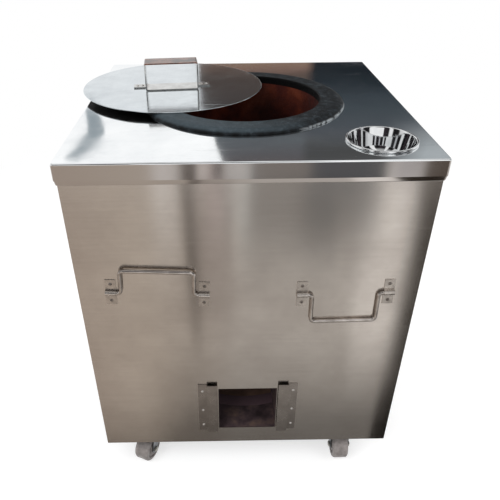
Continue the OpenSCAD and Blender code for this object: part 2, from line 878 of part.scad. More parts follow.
top_plate();
front_panel();
back_panel();
side_panel(-1);  // left_panel
side_panel(1);  // right_panel
base_frame();
castor_rails();
corner_posts();
top_frame();
bottom_plate();
hearth_slab();
clay_pot();
mouth_collar();
insulation();
ash_tunnel();
shutter_guide(-1);  // left_shutter_guide
shutter_guide(1);  // right_shutter_guide
guide_rivets();
handle_clamps(LEFT_HANDLE);  // left_handle_clamps
handle_clamps(RIGHT_HANDLE);  // right_handle_clamps
clamp_rivets();
carry_handle(LEFT_HANDLE, left_handle_drop, left_handle_lean);  // left_carry_handle
carry_handle(RIGHT_HANDLE, right_handle_drop, 180);  // right_carry_handle
lid();
lid_handle();
lid_rivets();
dip_bowl();
castor_plate(FRONT_LEFT);  // front_left_castor_plate
castor_plate(FRONT_RIGHT);  // front_right_castor_plate
castor_plate(BACK_LEFT);  // back_left_castor_plate
castor_plate(BACK_RIGHT);  // back_right_castor_plate
castor_bolts();
castor_nuts();
swivel_pins();
swivel_washers();
fork(FRONT_LEFT);  // front_left_fork
axle(FRONT_LEFT);  // front_left_axle
axle_nut(FRONT_LEFT);  // front_left_axle_nut
bush(FRONT_LEFT);  // front_left_bush
wheel(FRONT_LEFT);  // front_left_wheel
fork(FRONT_RIGHT);  // front_right_fork
axle(FRONT_RIGHT);  // front_right_axle
axle_nut(FRONT_RIGHT);  // front_right_axle_nut
bush(FRONT_RIGHT);  // front_right_bush
wheel(FRONT_RIGHT);  // front_right_wheel
fork(BACK_LEFT);  // back_left_fork
axle(BACK_LEFT);  // back_left_axle
axle_nut(BACK_LEFT);  // back_left_axle_nut
bush(BACK_LEFT);  // back_left_bush
wheel(BACK_LEFT);  // back_left_wheel
fork(BACK_RIGHT);  // back_right_fork
axle(BACK_RIGHT);  // back_right_axle
axle_nut(BACK_RIGHT);  // back_right_axle_nut
bush(BACK_RIGHT);  // back_right_bush
wheel(BACK_RIGHT);  // back_right_wheel
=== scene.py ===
import json
import math

import bmesh
import bpy
from mathutils import Matrix, Vector, noise


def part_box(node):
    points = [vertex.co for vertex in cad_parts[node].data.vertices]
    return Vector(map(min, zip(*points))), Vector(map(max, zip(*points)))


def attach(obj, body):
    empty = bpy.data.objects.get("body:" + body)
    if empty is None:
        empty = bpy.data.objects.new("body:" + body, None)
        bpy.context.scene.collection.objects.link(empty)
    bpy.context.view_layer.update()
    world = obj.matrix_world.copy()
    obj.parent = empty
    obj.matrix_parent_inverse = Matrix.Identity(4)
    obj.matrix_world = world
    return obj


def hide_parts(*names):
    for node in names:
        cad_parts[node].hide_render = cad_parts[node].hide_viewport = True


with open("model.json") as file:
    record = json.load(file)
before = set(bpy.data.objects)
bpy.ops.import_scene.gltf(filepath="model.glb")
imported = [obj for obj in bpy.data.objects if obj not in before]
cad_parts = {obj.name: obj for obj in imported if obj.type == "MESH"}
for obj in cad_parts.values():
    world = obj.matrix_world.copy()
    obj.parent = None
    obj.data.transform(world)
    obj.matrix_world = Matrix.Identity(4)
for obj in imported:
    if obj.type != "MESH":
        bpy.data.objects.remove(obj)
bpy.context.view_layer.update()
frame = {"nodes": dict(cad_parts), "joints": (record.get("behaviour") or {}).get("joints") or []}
nodes = frame["nodes"]
print("frame loaded:", len(nodes), "nodes")

bodyX = 0.014  # the body's own axis, in metres right of the origin


# small tools for node trees

def linearColour(hexText):
    channels = [int(hexText[i:i + 2], 16) / 255 for i in (1, 3, 5)]
    return [c / 12.92 if c <= 0.04045 else ((c + 0.055) / 1.055) ** 2.4 for c in channels] + [1]


def addNode(tree, kind, inputs=None, stops=None, **settings):
    # an input takes another node's output, a value or a hex colour
    made = tree.nodes.new(kind)
    for name, value in settings.items():
        setattr(made, name, value)
    if stops:
        ramp = made.color_ramp.elements
        ramp[0].position, ramp[1].position = stops[0][0], stops[-1][0]
        for place, _ in stops[1:-1]:
            ramp.new(place)
        for element, (_, tone) in zip(ramp, stops):
            element.color = linearColour(tone)
    for key, value in (inputs or {}).items():
        if isinstance(value, bpy.types.NodeSocket):
            tree.links.new(value, made.inputs[key])
        else:
            made.inputs[key].default_value = linearColour(value) if isinstance(value, str) else value
    return made


def calculate(tree, operation, *values, **settings):
    inputs = dict(enumerate(values))
    return addNode(tree, "ShaderNodeMath", inputs, operation=operation, **settings).outputs[0]


def vectorMath(tree, operation, vector, second=None, result=0):
    inputs = {0: vector} if second is None else {0: vector, 1: second}
    return addNode(tree, "ShaderNodeVectorMath", inputs, operation=operation).outputs[result]


def ranged(tree, value, low, high, toLow=0.0, toHigh=1.0, **settings):
    # low to high becomes toLow to toHigh
    ends = {"From Min": low, "From Max": high, "To Min": toLow, "To Max": toHigh}
    return addNode(tree, "ShaderNodeMapRange", {"Value": value, **ends}, **settings).outputs[0]


def axisOf(tree, place, axis):
    return addNode(tree, "ShaderNodeSeparateXYZ", {0: place}).outputs[axis]


def mixTones(tree, share, first, second):
    return addNode(tree, "ShaderNodeMix", {0: share, 6: first, 7: second}, data_type="RGBA").outputs[2]


def rampOf(tree, value, stops):
    return addNode(tree, "ShaderNodeValToRGB", {"Fac": value}, stops=stops).outputs[0]


def mottle(tree, place, scale, detail, roughness=0.5, turn=(0, 0, 0)):
    # noise; three scales stretch it, one for each direction
    if isinstance(scale, tuple):
        inputs = {"Vector": place, "Scale": scale, "Rotation": turn}
        place, scale = addNode(tree, "ShaderNodeMapping", inputs).outputs[0], 1.0
    inputs = {"Vector": place, "Scale": scale, "Detail": detail, "Roughness": roughness}
    return addNode(tree, "ShaderNodeTexNoise", inputs).outputs[0]


def raised(tree, height, distance, **under):
    # relief, on top of another one where Normal is given
    inputs = {"Height": height, "Distance": distance, "Strength": 1.0, **under}
    return addNode(tree, "ShaderNodeBump", inputs).outputs[0]


def startMaterial(name):
    material = bpy.data.materials.new(name)
    material.use_nodes = True
    tree = material.node_tree
    tree.nodes.clear()
    return material, tree, addNode(tree, "ShaderNodeTexCoord").outputs["Object"]


def endMaterial(tree, shader):
    addNode(tree, "ShaderNodeOutputMaterial", {"Surface": shader})


def startTree(name, inputs):
    # a tree of Geometry Nodes with its named inputs
    tree = bpy.data.node_groups.new(name, "GeometryNodeTree")
    for label, kind in inputs.items():
        tree.interface.new_socket(name=label, in_out="INPUT", socket_type="NodeSocket" + kind)
    tree.interface.new_socket(name="Geometry", in_out="OUTPUT", socket_type="NodeSocketGeometry")
    return tree, addNode(tree, "NodeGroupInput").outputs


def endTree(tree, geometry, finish):
    real = addNode(tree, "GeometryNodeRealizeInstances", {"Geometry": geometry})
    finished = addNode(tree, "GeometryNodeSetMaterial", {"Geometry": real.outputs[0], "Material": finish})
    addNode(tree, "NodeGroupOutput", {"Geometry": finished.outputs[0]})


# small tools for meshes

def meshFrom(name, points, faces):
    mesh = bpy.data.meshes.new(name)
    mesh.from_pydata([tuple(p) for p in points], [], faces)
    mesh.update()
    return mesh


def smoothMesh(mesh, sharpAngle=35):
    mesh.polygons.foreach_set("use_smooth", [True] * len(mesh.polygons))
    mesh.set_sharp_from_angle(angle=math.radians(sharpAngle))
    mesh.update()


def linkMesh(name, mesh, material=None, sharpAngle=None):
    piece = bpy.data.objects.new(name, mesh)
    bpy.context.scene.collection.objects.link(piece)
    if material:
        mesh.materials.clear()
        mesh.materials.append(material)
    if sharpAngle:
        smoothMesh(mesh, sharpAngle)
    return piece


def closeUp(mesh, gap=1e-6):
    # merges doubles and turns the faces outwards
    shape = bmesh.new()
    shape.from_mesh(mesh)
    bmesh.ops.remove_doubles(shape, verts=shape.verts, dist=gap)
    bmesh.ops.recalc_face_normals(shape, faces=shape.faces)
    shape.to_mesh(mesh)
    shape.free()
    return mesh


def applied(piece):
    # the piece's mesh with its modifiers worked in
    graph = bpy.context.evaluated_depsgraph_get()
    mesh = bpy.data.meshes.new_from_object(piece.evaluated_get(graph))
    piece.modifiers.clear()
    piece.data = mesh
    return piece


def modify(piece, kind, **settings):
    made = piece.modifiers.new(kind, kind)
    for name, value in settings.items():
        setattr(made, name, value)
    return applied(piece)


def runTree(piece, tree, values):
    maker = piece.modifiers.new("maker", "NODES")
    maker.node_group = tree
    for socket in tree.interface.items_tree:
        if socket.in_out == "INPUT" and socket.name in values:
            maker[socket.identifier] = values[socket.name]
    return applied(piece)


def evenFlats(piece):
    # soft bends, and large flats that stay truly flat in a reflection
    smoothMesh(piece.data, 50)
    return modify(piece, "WEIGHTED_NORMAL", keep_sharp=True, weight=100)


def arc(middle, radius, start, end, steps):
    # points of an arc in the profile's plane, in degrees
    turns = [math.radians(start + (end - start) * i / steps) for i in range(steps + 1)]
    return [(middle[0] + radius * math.cos(t), middle[1] + radius * math.sin(t)) for t in turns]


def circle(radius, height, count):
    turns = [2 * math.pi * k / count for k in range(count)]
    return [Vector((radius * math.cos(t), radius * math.sin(t), height)) for t in turns]


def around(ring):
    # each member with its neighbour, the last one with the first
    return list(zip(ring, ring[1:] + ring[:1]))


def quadsBetween(rings):
    faces = []
    for low, high in zip(rings, rings[1:]):
        faces += [(a, b, d, c) for (a, b), (c, d) in zip(around(low), around(high))]
    return faces


def lathe(name, profile, sides, place=(0, 0, 0), turn=None, wear=None):
    # turns a closed profile of (radius, height) about Z; wear moves each point by a rule
    points, faces = [], []
    for i in range(sides):
        angle = 2 * math.pi * i / sides
        for radius, height in profile:
            point = Vector((radius * math.cos(angle), radius * math.sin(angle), height))
            points.append(point + wear(point, radius, height) if wear else point)
    count = len(profile)
    for i in range(sides):
        for j in range(count):
            a, b = i * count + j, i * count + (j + 1) % count
            c, d = ((i + 1) % sides) * count + (j + 1) % count, ((i + 1) % sides) * count + j
            faces.append((a, d, c, b))
    if turn:
        points = [turn @ p for p in points]
    return closeUp(meshFrom(name, [p + Vector(place) for p in points], faces))


def tube(name, path, radius, sides=28):
    # round bar along a smooth path, with softly rounded ends
    ways = [(path[min(i + 1, len(path) - 1)] - path[max(i - 1, 0)]).normalized() for i in range(len(path))]
    rounding = radius * 0.25
    ends = [(0.0, 0.75), (rounding * 0.3, 0.92), (rounding, 1.0)]  # how far in, and the share of the radius
    stations = [(path[0] + ways[0] * reach, ways[0], share) for reach, share in ends]
    stations += [(p, way, 1.0) for p, way in zip(path[2:-2], ways[2:-2])]
    stations += [(path[-1] - ways[-1] * reach, ways[-1], share) for reach, share in reversed(ends)]
    points, rings = [], []
    for middle, way, share in stations:
        across = (Vector((0, 1, 0)) - way * way.y).normalized()
        other = way.cross(across)
        rings.append(list(range(len(points), len(points) + sides)))
        for p in circle(1.0, 0.0, sides):
            points.append(middle + (across * p.x + other * p.y) * radius * share)
    faces = quadsBetween(rings) + [tuple(reversed(rings[0])), tuple(rings[-1])]
    return closeUp(meshFrom(name, points, faces))


def dressedCopy(node, material, edge):
    # copy of a CAD solid with its flats made whole and its edges rounded off
    source, name = nodes[node].data, camelName(node)
    mesh = meshFrom(name, [v.co for v in source.vertices], [tuple(p.vertices) for p in source.polygons])
    shape = bmesh.new()
    shape.from_mesh(mesh)
    bmesh.ops.remove_doubles(shape, verts=shape.verts, dist=2e-6)
    bmesh.ops.dissolve_limit(shape, angle_limit=math.radians(0.6), verts=shape.verts, edges=shape.edges)
    shape.to_mesh(mesh)
    shape.free()
    piece = linkMesh(name, mesh, material)
    modify(piece, "BEVEL", width=edge, segments=2, limit_method="ANGLE", angle_limit=math.radians(40),
           miter_outer="MITER_ARC")
    piece.data.materials.clear()
    piece.data.materials.append(material)
    return evenFlats(piece)


def islandBoxes(node):
    # the low and high corners of each separate solid in a CAD node
    source = nodes[node].data
    owner = {}
    keys = [tuple(round(c, 6) for c in v.co) for v in source.vertices]

    def root(key):
        while owner.setdefault(key, key) != key:
            key = owner[key]
        return key

    for polygon in source.polygons:
        ring = [root(keys[v]) for v in polygon.vertices]
        for other in ring[1:]:
            owner[root(other)] = root(ring[0])
    groups = {}
    for key in sorted(set(keys)):
        groups.setdefault(root(key), []).append(key)
    boxes = [[Vector([pick(p[i] for p in group) for i in range(3)]) for pick in (min, max)]
             for group in groups.values()]
    return sorted(boxes, key=lambda box: tuple(box[0]))


def camelName(node):
    first, *rest = node.split("_")
    return first + "".join(word.capitalize() for word in rest)


def jointNamed(name):
    return [joint for joint in frame["joints"] if joint["name"] == name][0]


# finishes

sheetLook = {  # plain sheet steel, from which every steel finish starts
    "light": "#d6cfc8", "dark": "#c6beb7", "grainScale": (5, 5, 330), "grainHeight": 0.000006,
    "streak": 0.04, "smudgeScale": 7.0, "roughness": (0.15, 0.2), "waveScale": (5, 5, 1.1),
    "waveHeight": 0.0008, "scratchScale": (6, 6, 420), "scratchTurn": (0.02, 0.03, 0),
    "scratchDepth": 0.03, "stretch": 0.0, "stretchTurn": 0.0}


def steelFinish(name, **changes):
    # Stainless sheet. The rolled or belted grain blurs a reflection across its own direction,
    # handling leaves dull smudges, and a thin sheet is never quite flat.
    look = {**sheetLook, **changes}
    material, tree, place = startMaterial(name)
    grain = mottle(tree, place, look["grainScale"], 4.0, 0.65)
    smudge = mottle(tree, place, look["smudgeScale"], 5.0, 0.6)
    wave = mottle(tree, place, look["waveScale"], 1.0)
    scratch = mottle(tree, place, look["scratchScale"], 2.0, turn=look["scratchTurn"])
    scratch = ranged(tree, scratch, 0.66, 0.74)
    tone = mixTones(tree, ranged(tree, smudge, 0.35, 0.7), look["light"], look["dark"])
    streak = ranged(tree, grain, 0.25, 0.75, 1 - look["streak"], 1 + look["streak"])
    colour = addNode(tree, "ShaderNodeVectorMath", {0: tone, "Scale": streak}, operation="SCALE").outputs[0]
    rough = ranged(tree, smudge, 0.3, 0.75, *look["roughness"])
    rough = calculate(tree, "MULTIPLY_ADD", scratch, look["scratchDepth"], rough)
    if "edgeTone" in look:
        # the turned-down edge keeps its brushed grain, so it mirrors less
        share = ranged(tree, axisOf(tree, place, "Z"), look["edgeTop"], look["edgeTop"] - 0.001)
        colour = mixTones(tree, share, colour, look["edgeTone"])
        rough = calculate(tree, "MULTIPLY_ADD", share, look["edgeDuller"], rough)
    if "heatTint" in look:
        # straw to brown colours painted over the upper side of the strip
        tint = rampOf(tree, mottle(tree, place, look["tintScale"], 3.0), look["heatTint"])
        share = ranged(tree, axisOf(tree, place, "Z"), look["tintFrom"], look["tintFrom"] + 0.001)
        colour = mixTones(tree, share, colour, tint)
    relief = raised(tree, grain, look["grainHeight"], Normal=raised(tree, wave, look["waveHeight"]))
    shader = addNode(tree, "ShaderNodeBsdfPrincipled", {
        "Base Color": colour, "Metallic": 1.0, "Roughness": rough, "Anisotropic": look["stretch"],
        "Anisotropic Rotation": look["stretchTurn"], "Normal": relief})
    if look["stretch"]:
        tangent = addNode(tree, "ShaderNodeTangent", direction_type="RADIAL", axis="Z")
        tree.links.new(tangent.outputs[0], shader.inputs["Tangent"])
    surface = shader.outputs[0]
    if "soot" in look:
        # dull black on whatever faces down, towards the coals
        facing = addNode(tree, "ShaderNodeNewGeometry").outputs["Normal"]
        share = ranged(tree, axisOf(tree, facing, "Z"), -0.3, -0.6)
        dull = addNode(tree, "ShaderNodeBsdfPrincipled", {"Base Color": look["soot"], "Roughness": 0.85})
        sooted = addNode(tree, "ShaderNodeMixShader", {0: share, 1: surface, 2: dull.outputs[0]})
        surface = sooted.outputs[0]
    endMaterial(tree, surface)
    return material


def ringWear(tree, place, colour, ring):
    # soot where the flame licks the inner wall, bare metal where the outer edge gets knocked, painted light
    # that makes the near side paler, and a painted shadow along the outer foot
    centred = addNode(tree, "ShaderNodeMapping", {"Vector": place, "Location": (-bodyX, 0, 0)}).outputs[0]
    level = vectorMath(tree, "MULTIPLY", centred, (1, 1, 0))
    radius = vectorMath(tree, "LENGTH", level, result="Value")
    inside = ranged(tree, radius, ring["sootTo"], ring["sootTo"] - 0.0015)
    foot = ranged(tree, radius, ring["footShadeFrom"], ring["footShadeFrom"] + 0.006, 1.0, 0.0)
    # painted light: a paler blue grey on the near side of the ring
    paintedNearLight = vectorMath(tree, "DOT_PRODUCT", level, ring["paintedLightSide"], "Value")
    paintedNearLight = ranged(tree, paintedNearLight, *ring["paintedLightReach"], 0.0, ring["paintedLightShare"])
    paintedNearLight = calculate(tree, "MULTIPLY", paintedNearLight, foot)
    paintedNearLight = calculate(tree, "SUBTRACT", paintedNearLight, inside, use_clamp=True)
    colour = mixTones(tree, inside, colour, ring["soot"])
    colour = mixTones(tree, paintedNearLight, colour, ring["paintedNearLight"])
    # painted shadow: the outer shoulder turns part way to black, as a dark line round the collar's foot
    colour = mixTones(tree, calculate(tree, "SUBTRACT", 0.45, foot, use_clamp=True), colour, ring["soot"])
    chips = ranged(tree, mottle(tree, place, ring["chipScale"], 4.0, 0.7), 0.38, 0.5)
    worn = ring["wornFrom"]
    edge = ranged(tree, radius, worn, worn + 0.003)
    side = vectorMath(tree, "DOT_PRODUCT", level, ring["wornSide"], "Value")
    bare = calculate(tree, "MULTIPLY", edge, ranged(tree, side, worn * 0.88, worn * 0.97))
    bare = calculate(tree, "MULTIPLY", chips, bare)
    return mixTones(tree, bare, colour, ring["worn"])


def roughFinish(name, **look):
    # Cast, fired, painted, sooted or moulded surfaces: no mirror, a mottled colour and a fine grit.
    material, tree, place = startMaterial(name)
    broad = mottle(tree, place, look["broadScale"], 6.0, 0.62)
    grit = mottle(tree, place, look["gritScale"], 3.0)
    colour = rampOf(tree, broad, look["tones"])
    if "sootTone" in look:
        # the coals blacken the lowest part
        share = ranged(tree, axisOf(tree, place, "Z"), look["sootEnds"], look["sootFull"])
        colour = mixTones(tree, share, colour, look["sootTone"])
    if "ring" in look:
        colour = ringWear(tree, place, colour, look["ring"])
    relief = raised(tree, grit, look["gritHeight"], Normal=raised(tree, broad, look["broadHeight"]))
    shader = addNode(tree, "ShaderNodeBsdfPrincipled", {
        "Base Color": colour, "Metallic": look.get("metallic", 0.0), "IOR": look.get("ior", 1.5),
        "Roughness": ranged(tree, grit, 0.3, 0.7, *look["roughness"]), "Normal": relief})
    endMaterial(tree, shader.outputs[0])
    return material


# a soft mirror that its level grain, lines three millimetres apart, draws out upwards
brushedSheet = steelFinish("brushedStainlessWall", stretch=0.9, stretchTurn=0.25)
# a near mirror, with grain along its depth and a duller edge
polishedTop = steelFinish(
    "polishedStainlessTop", light="#fafcfd", dark="#eef1f3", grainScale=(8, 700, 8), grainHeight=0.000002,
    streak=0.02, smudgeScale=9.0, roughness=(0.05, 0.12), waveScale=5, waveHeight=0.0006,
    scratchScale=(4, 260, 4), scratchTurn=(0, 0, 0.5), scratchDepth=0.1, edgeTop=0.9112,
    edgeTone="#c9c3bf", edgeDuller=0.01)
# a cooler near mirror, scratched by use, black underneath
polishedLid = steelFinish(
    "polishedStainlessLid", light="#d5dce0", dark="#c6cdd2", grainScale=(500, 10, 10),
    grainHeight=0.000003, streak=0.03, smudgeScale=14.0, roughness=(0.07, 0.16), waveScale=6,
    scratchScale=(5, 320, 5), scratchTurn=(0, 0, -0.7), scratchDepth=0.15, soot="#161413")
# grey, with only a hint of what it mirrors
foldedSteel = steelFinish(
    "foldedStainlessStrip", light="#b9b1ab", dark="#9d958f", grainScale=(900, 900, 12),
    roughness=(0.24, 0.36), smudgeScale=30.0, waveScale=(30, 30, 12), waveHeight=0.0004)
# bright strip, brown on top
lidStrip = steelFinish(
    "bentStainlessStrip", light="#cfd0cf", dark="#b5b4b2", grainScale=(10, 10, 700), roughness=(0.1, 0.2),
    smudgeScale=30.0, waveScale=25, waveHeight=0.0003, tintFrom=0.9905, tintScale=(22, 22, 3),
    heatTint=[(0.3, "#1f1512"), (0.42, "#4f2f25"), (0.5, "#7a5445"), (0.58, "#43291f"), (0.7, "#1c1311")])
# thin bright lines along the rod
drawnRod = steelFinish(
    "drawnStainlessRod", light="#cbc3bd", dark="#a8a09a", grainScale=(40, 900, 900),
    roughness=(0.12, 0.22), smudgeScale=40.0, waveScale=40, waveHeight=0.0001)
# satin, with soft edges to its reflections
strapSteel = steelFinish(
    "pressedStrapSteel", light="#d0c8c1", dark="#b5ada6", grainScale=(900, 40, 40),
    roughness=(0.22, 0.34), smudgeScale=60.0, waveScale=60, waveHeight=0.0003)
# the clearest mirror of all
spunBowl = steelFinish(
    "spunStainlessBowl", light="#e8e9ea", dark="#d9dbdc", grainScale=(60, 60, 900), grainHeight=0.000002,
    streak=0.01, smudgeScale=40.0, roughness=(0.03, 0.08), waveScale=20, waveHeight=0.0001,
    scratchDepth=0.05)
# pale and matt
rivetMetal = steelFinish(
    "pressedRivetMetal", light="#e6e3df", dark="#cbc7c2", grainScale=900, roughness=(0.38, 0.5),
    smudgeScale=200.0, waveScale=90, waveHeight=0.0001)
# the same, darker, for the clamps
dullRivet = steelFinish(
    "darkerClampRivetMetal", light="#9b928c", dark="#7b736d", grainScale=900, roughness=(0.4, 0.55),
    smudgeScale=200.0, waveScale=90, waveHeight=0.0001)
# dark grey with a blurred shine
zincPlate = steelFinish(
    "zincPlatedPress", light="#85878a", dark="#6b6c6e", grainScale=300, roughness=(0.3, 0.45),
    smudgeScale=60.0, waveScale=80, waveHeight=0.0002)
# warmer and lighter zinc
zincHardware = steelFinish(
    "zincPlatedHardware", light="#b4b2aa", dark="#97948c", grainScale=500, roughness=(0.28, 0.42),
    smudgeScale=90.0, waveScale=90, waveHeight=0.0001)
# blue black and uneven, bare at one side
castIron = roughFinish(
    "seasonedCastIron",
    tones=[(0.3, "#050608"), (0.45, "#0d1114"), (0.55, "#1b2126"), (0.64, "#30383d"), (0.76, "#4e4f4d")],
    metallic=0.2, ior=1.36, broadScale=65.0, gritScale=420.0, roughness=(0.5, 0.8), broadHeight=0.001,
    gritHeight=0.0005,
    ring={"sootTo": 0.1895, "soot": "#050506", "paintedNearLight": "#5b6971", "paintedLightSide": (-0.6, -0.8, 0),
          "paintedLightReach": (0.05, 0.21), "paintedLightShare": 0.42, "footShadeFrom": 0.2375, "chipScale": 90.0,
          "wornFrom": 0.2412, "wornSide": (0.82, -0.57, 0), "worn": "#a9b0b4"})
# red brown and dry, blackened below
firedClay = roughFinish(
    "firedClayWithSoot",
    tones=[(0.3, "#1c0a08"), (0.45, "#3c130c"), (0.58, "#54210f"), (0.75, "#6b3320")], broadScale=11.0,
    gritScale=260.0, roughness=(0.75, 0.95), broadHeight=0.002, gritHeight=0.0005, sootFull=0.34,
    sootEnds=0.44, sootTone="#5a474d")
# brown grey, with no shine left
sootedSteel = roughFinish(
    "sootedSteelSheet", tones=[(0.3, "#2d2325"), (0.5, "#4b3d40"), (0.62, "#5f4e49"), (0.78, "#7c6453")],
    metallic=0.25, broadScale=26.0, gritScale=500.0, roughness=(0.55, 0.85), broadHeight=0.0004,
    gritHeight=0.0002)
# flat grey paint
primedSteel = roughFinish(
    "primedSteelAngle", tones=[(0.3, "#33363a"), (0.5, "#3c4044"), (0.7, "#464a4e")], broadScale=18.0,
    gritScale=700.0, roughness=(0.5, 0.7), broadHeight=0.0002, gritHeight=0.0001)
# coarse and brown
hearthStone = roughFinish(
    "castHearthStone", tones=[(0.3, "#5a4439"), (0.5, "#6b5245"), (0.7, "#7d6253")], broadScale=30.0,
    gritScale=500.0, roughness=(0.8, 0.95), broadHeight=0.001, gritHeight=0.0006)
# straw coloured and fibrous
mineralWool = roughFinish(
    "packedMineralWool", tones=[(0.3, "#8c7f55"), (0.5, "#a4986b"), (0.7, "#b9ad80")], ior=1.45,
    broadScale=60.0, gritScale=900.0, roughness=(0.9, 1.0), broadHeight=0.003, gritHeight=0.001)
# warm grey with a faint sheen, scuffed by the floor
greyNylon = roughFinish(
    "mouldedGreyNylon", tones=[(0.3, "#736d6b"), (0.5, "#8f8885"), (0.7, "#a69f9c")], ior=1.53,
    broadScale=45.0, gritScale=600.0, roughness=(0.38, 0.55), broadHeight=0.0003, gritHeight=0.0001)
print("finishes made")


# top plate: one sheet bent down all round, with a folded hem

topSheet = {"half": 0.381, "height": 0.914, "lip": 0.046, "sheet": 0.002, "bend": 0.003, "corner": 0.0055,
            "tightest": 0.0009, "apart": 0.001, "hem": 0.0108, "hemTurn": 0.0021, "hemRound": 0.0016,
            "hemStep": 0.0006, "mouth": 0.226, "bowlHole": 0.070, "bowl": (bodyX + 0.272, -0.280)}


def squareLoop(half, corner, height, steps=6):
    points = []
    for quarter, (sx, sy) in enumerate(((1, 1), (-1, 1), (-1, -1), (1, -1))):
        middle = (sx * (half - corner), sy * (half - corner))
        for x, y in arc(middle, corner, 90 * quarter, 90 * quarter + 90, steps):
            points.append(Vector((bodyX + x, y, height)))
    return points


def makeTopPlate(look):
    half, top, bend, corner = look["half"], look["height"], look["bend"], look["corner"]
    low, turned, step = top - look["lip"], look["hemRound"], look["hemStep"]
    loops = []
    for angle in (1.3, 0.9, 0.45, 0.0):
        rise = low + turned * (1 - math.sin(angle))
        loops.append(squareLoop(half - look["hemTurn"] - turned * (1 - math.cos(angle)), corner, rise))
    loops.append(squareLoop(half - step, corner, low + look["hem"] - step))
    loops.append(squareLoop(half, corner, low + look["hem"]))
    bent = [(bend - r, z) for r, z in arc((0, top - bend), bend, 0, 90, 6)]
    for inset, rise in [(0.0, top - bend - look["apart"])] + bent:
        loops.append(squareLoop(half - inset, max(corner - inset, look["tightest"]), rise))
    loops.append(squareLoop(half - bend - look["apart"], look["tightest"], top))
    shape = bmesh.new()
    rings = [[shape.verts.new(p) for p in loop] for loop in loops]
    for quad in quadsBetween(rings):
        shape.faces.new(quad)
    edges = [shape.edges.get(pair) for pair in around(rings[-1])]
    for middle, radius, count in (((bodyX, 0), look["mouth"], 128), (look["bowl"], look["bowlHole"], 96)):
        hole = [shape.verts.new(p + Vector((*middle, 0))) for p in circle(radius, top, count)]
        edges += [shape.edges.new(pair) for pair in around(hole)]
    bmesh.ops.triangle_fill(shape, use_beauty=True, use_dissolve=False, edges=edges)
    bmesh.ops.recalc_face_normals(shape, faces=shape.faces)
    mesh = bpy.data.meshes.new("topSheet")
    shape.to_mesh(mesh)
    shape.free()
    if max(p.normal.z for p in mesh.polygons) < 0.5:
        mesh.flip_normals()
    piece = linkMesh("topPlate", mesh, polishedTop)
    modify(piece, "SOLIDIFY", thickness=look["sheet"], offset=-1)
    return evenFlats(piece)


topPlate = makeTopPlate(topSheet)
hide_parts("top_plate")
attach(topPlate, "cabinet")
print("top plate made")


# walls, guides, clamps and frame: the CAD solids with rounded edges

panels = ("front_panel", "back_panel", "left_panel", "right_panel")
dressed = [
    # finish, slot, edge, body, nodes
    (brushedSheet, "brushed_sheet", 0.0007, "cabinet", panels),
    (foldedSteel, "folded_guide", 0.0007, "cabinet", ("left_shutter_guide", "right_shutter_guide")),
    (strapSteel, "clamp_strap", 0.0005, "cabinet", ("left_handle_clamps", "right_handle_clamps")),
    (lidStrip, "lid_strip", 0.0006, "lid_and_handle", ("lid_handle",)),
    (primedSteel, "primed_frame", 0.0008, "cabinet", ("base_frame", "castor_rails")),
    (sootedSteel, "sooted_sheet", 0.0006, "cabinet", ("ash_tunnel",)),
]
castorNames = ("front_left", "front_right", "back_left", "back_right")
for corner in castorNames:
    dressed += [
        (zincPlate, "zinc_plate", 0.0006, "cabinet", (corner + "_castor_plate",)),
        (zincPlate, "zinc_plate", 0.0008, corner + "_swivel", (corner + "_fork",)),
        (zincHardware, "zinc_hardware", 0.0005, corner + "_swivel", (corner + "_axle",)),
        (zincHardware, "zinc_hardware", 0.0004, corner + "_swivel", (corner + "_axle_nut",)),
    ]
for finish, slot, edge, body, group in dressed:
    for node in group:
        piece = dressedCopy(node, finish, edge)
        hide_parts(node)
        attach(piece, body)
print("sheet and frame pieces dressed")

# solids that stay as they are and only get their finish
plain = {"corner_posts": primedSteel, "top_frame": primedSteel, "bottom_plate": primedSteel,
         "hearth_slab": hearthStone, "insulation": mineralWool, "swivel_pins": zincHardware,
         "swivel_washers": zincHardware}
plain.update({corner + "_bush": zincHardware for corner in castorNames})
for node, finish in plain.items():
    if not nodes[node].data.materials:
        nodes[node].data.materials.append(finish)
    for slot in nodes[node].material_slots:
        slot.link = "OBJECT"
        slot.material = finish


# clay pot: its wall follows a rule, so Geometry Nodes draw it

pot = {"mouth": 0.186, "belly": 0.265, "wall": 0.035, "foot": 0.154, "shoulder": 0.420, "neck": 0.880,
       "rim": 0.908, "across": 144, "up": 56, "dents": ((9, 0.0012), (40, 0.0004)),
       "ashHole": ((bodyX + 0.002 - 0.0735, bodyX + 0.002 + 0.0735), (-0.4, -0.14), (0.1565, 0.3015))}
boxFaces = [(0, 1, 3, 2), (4, 6, 7, 5), (0, 4, 5, 1), (2, 3, 7, 6), (0, 2, 6, 4), (1, 5, 7, 3)]


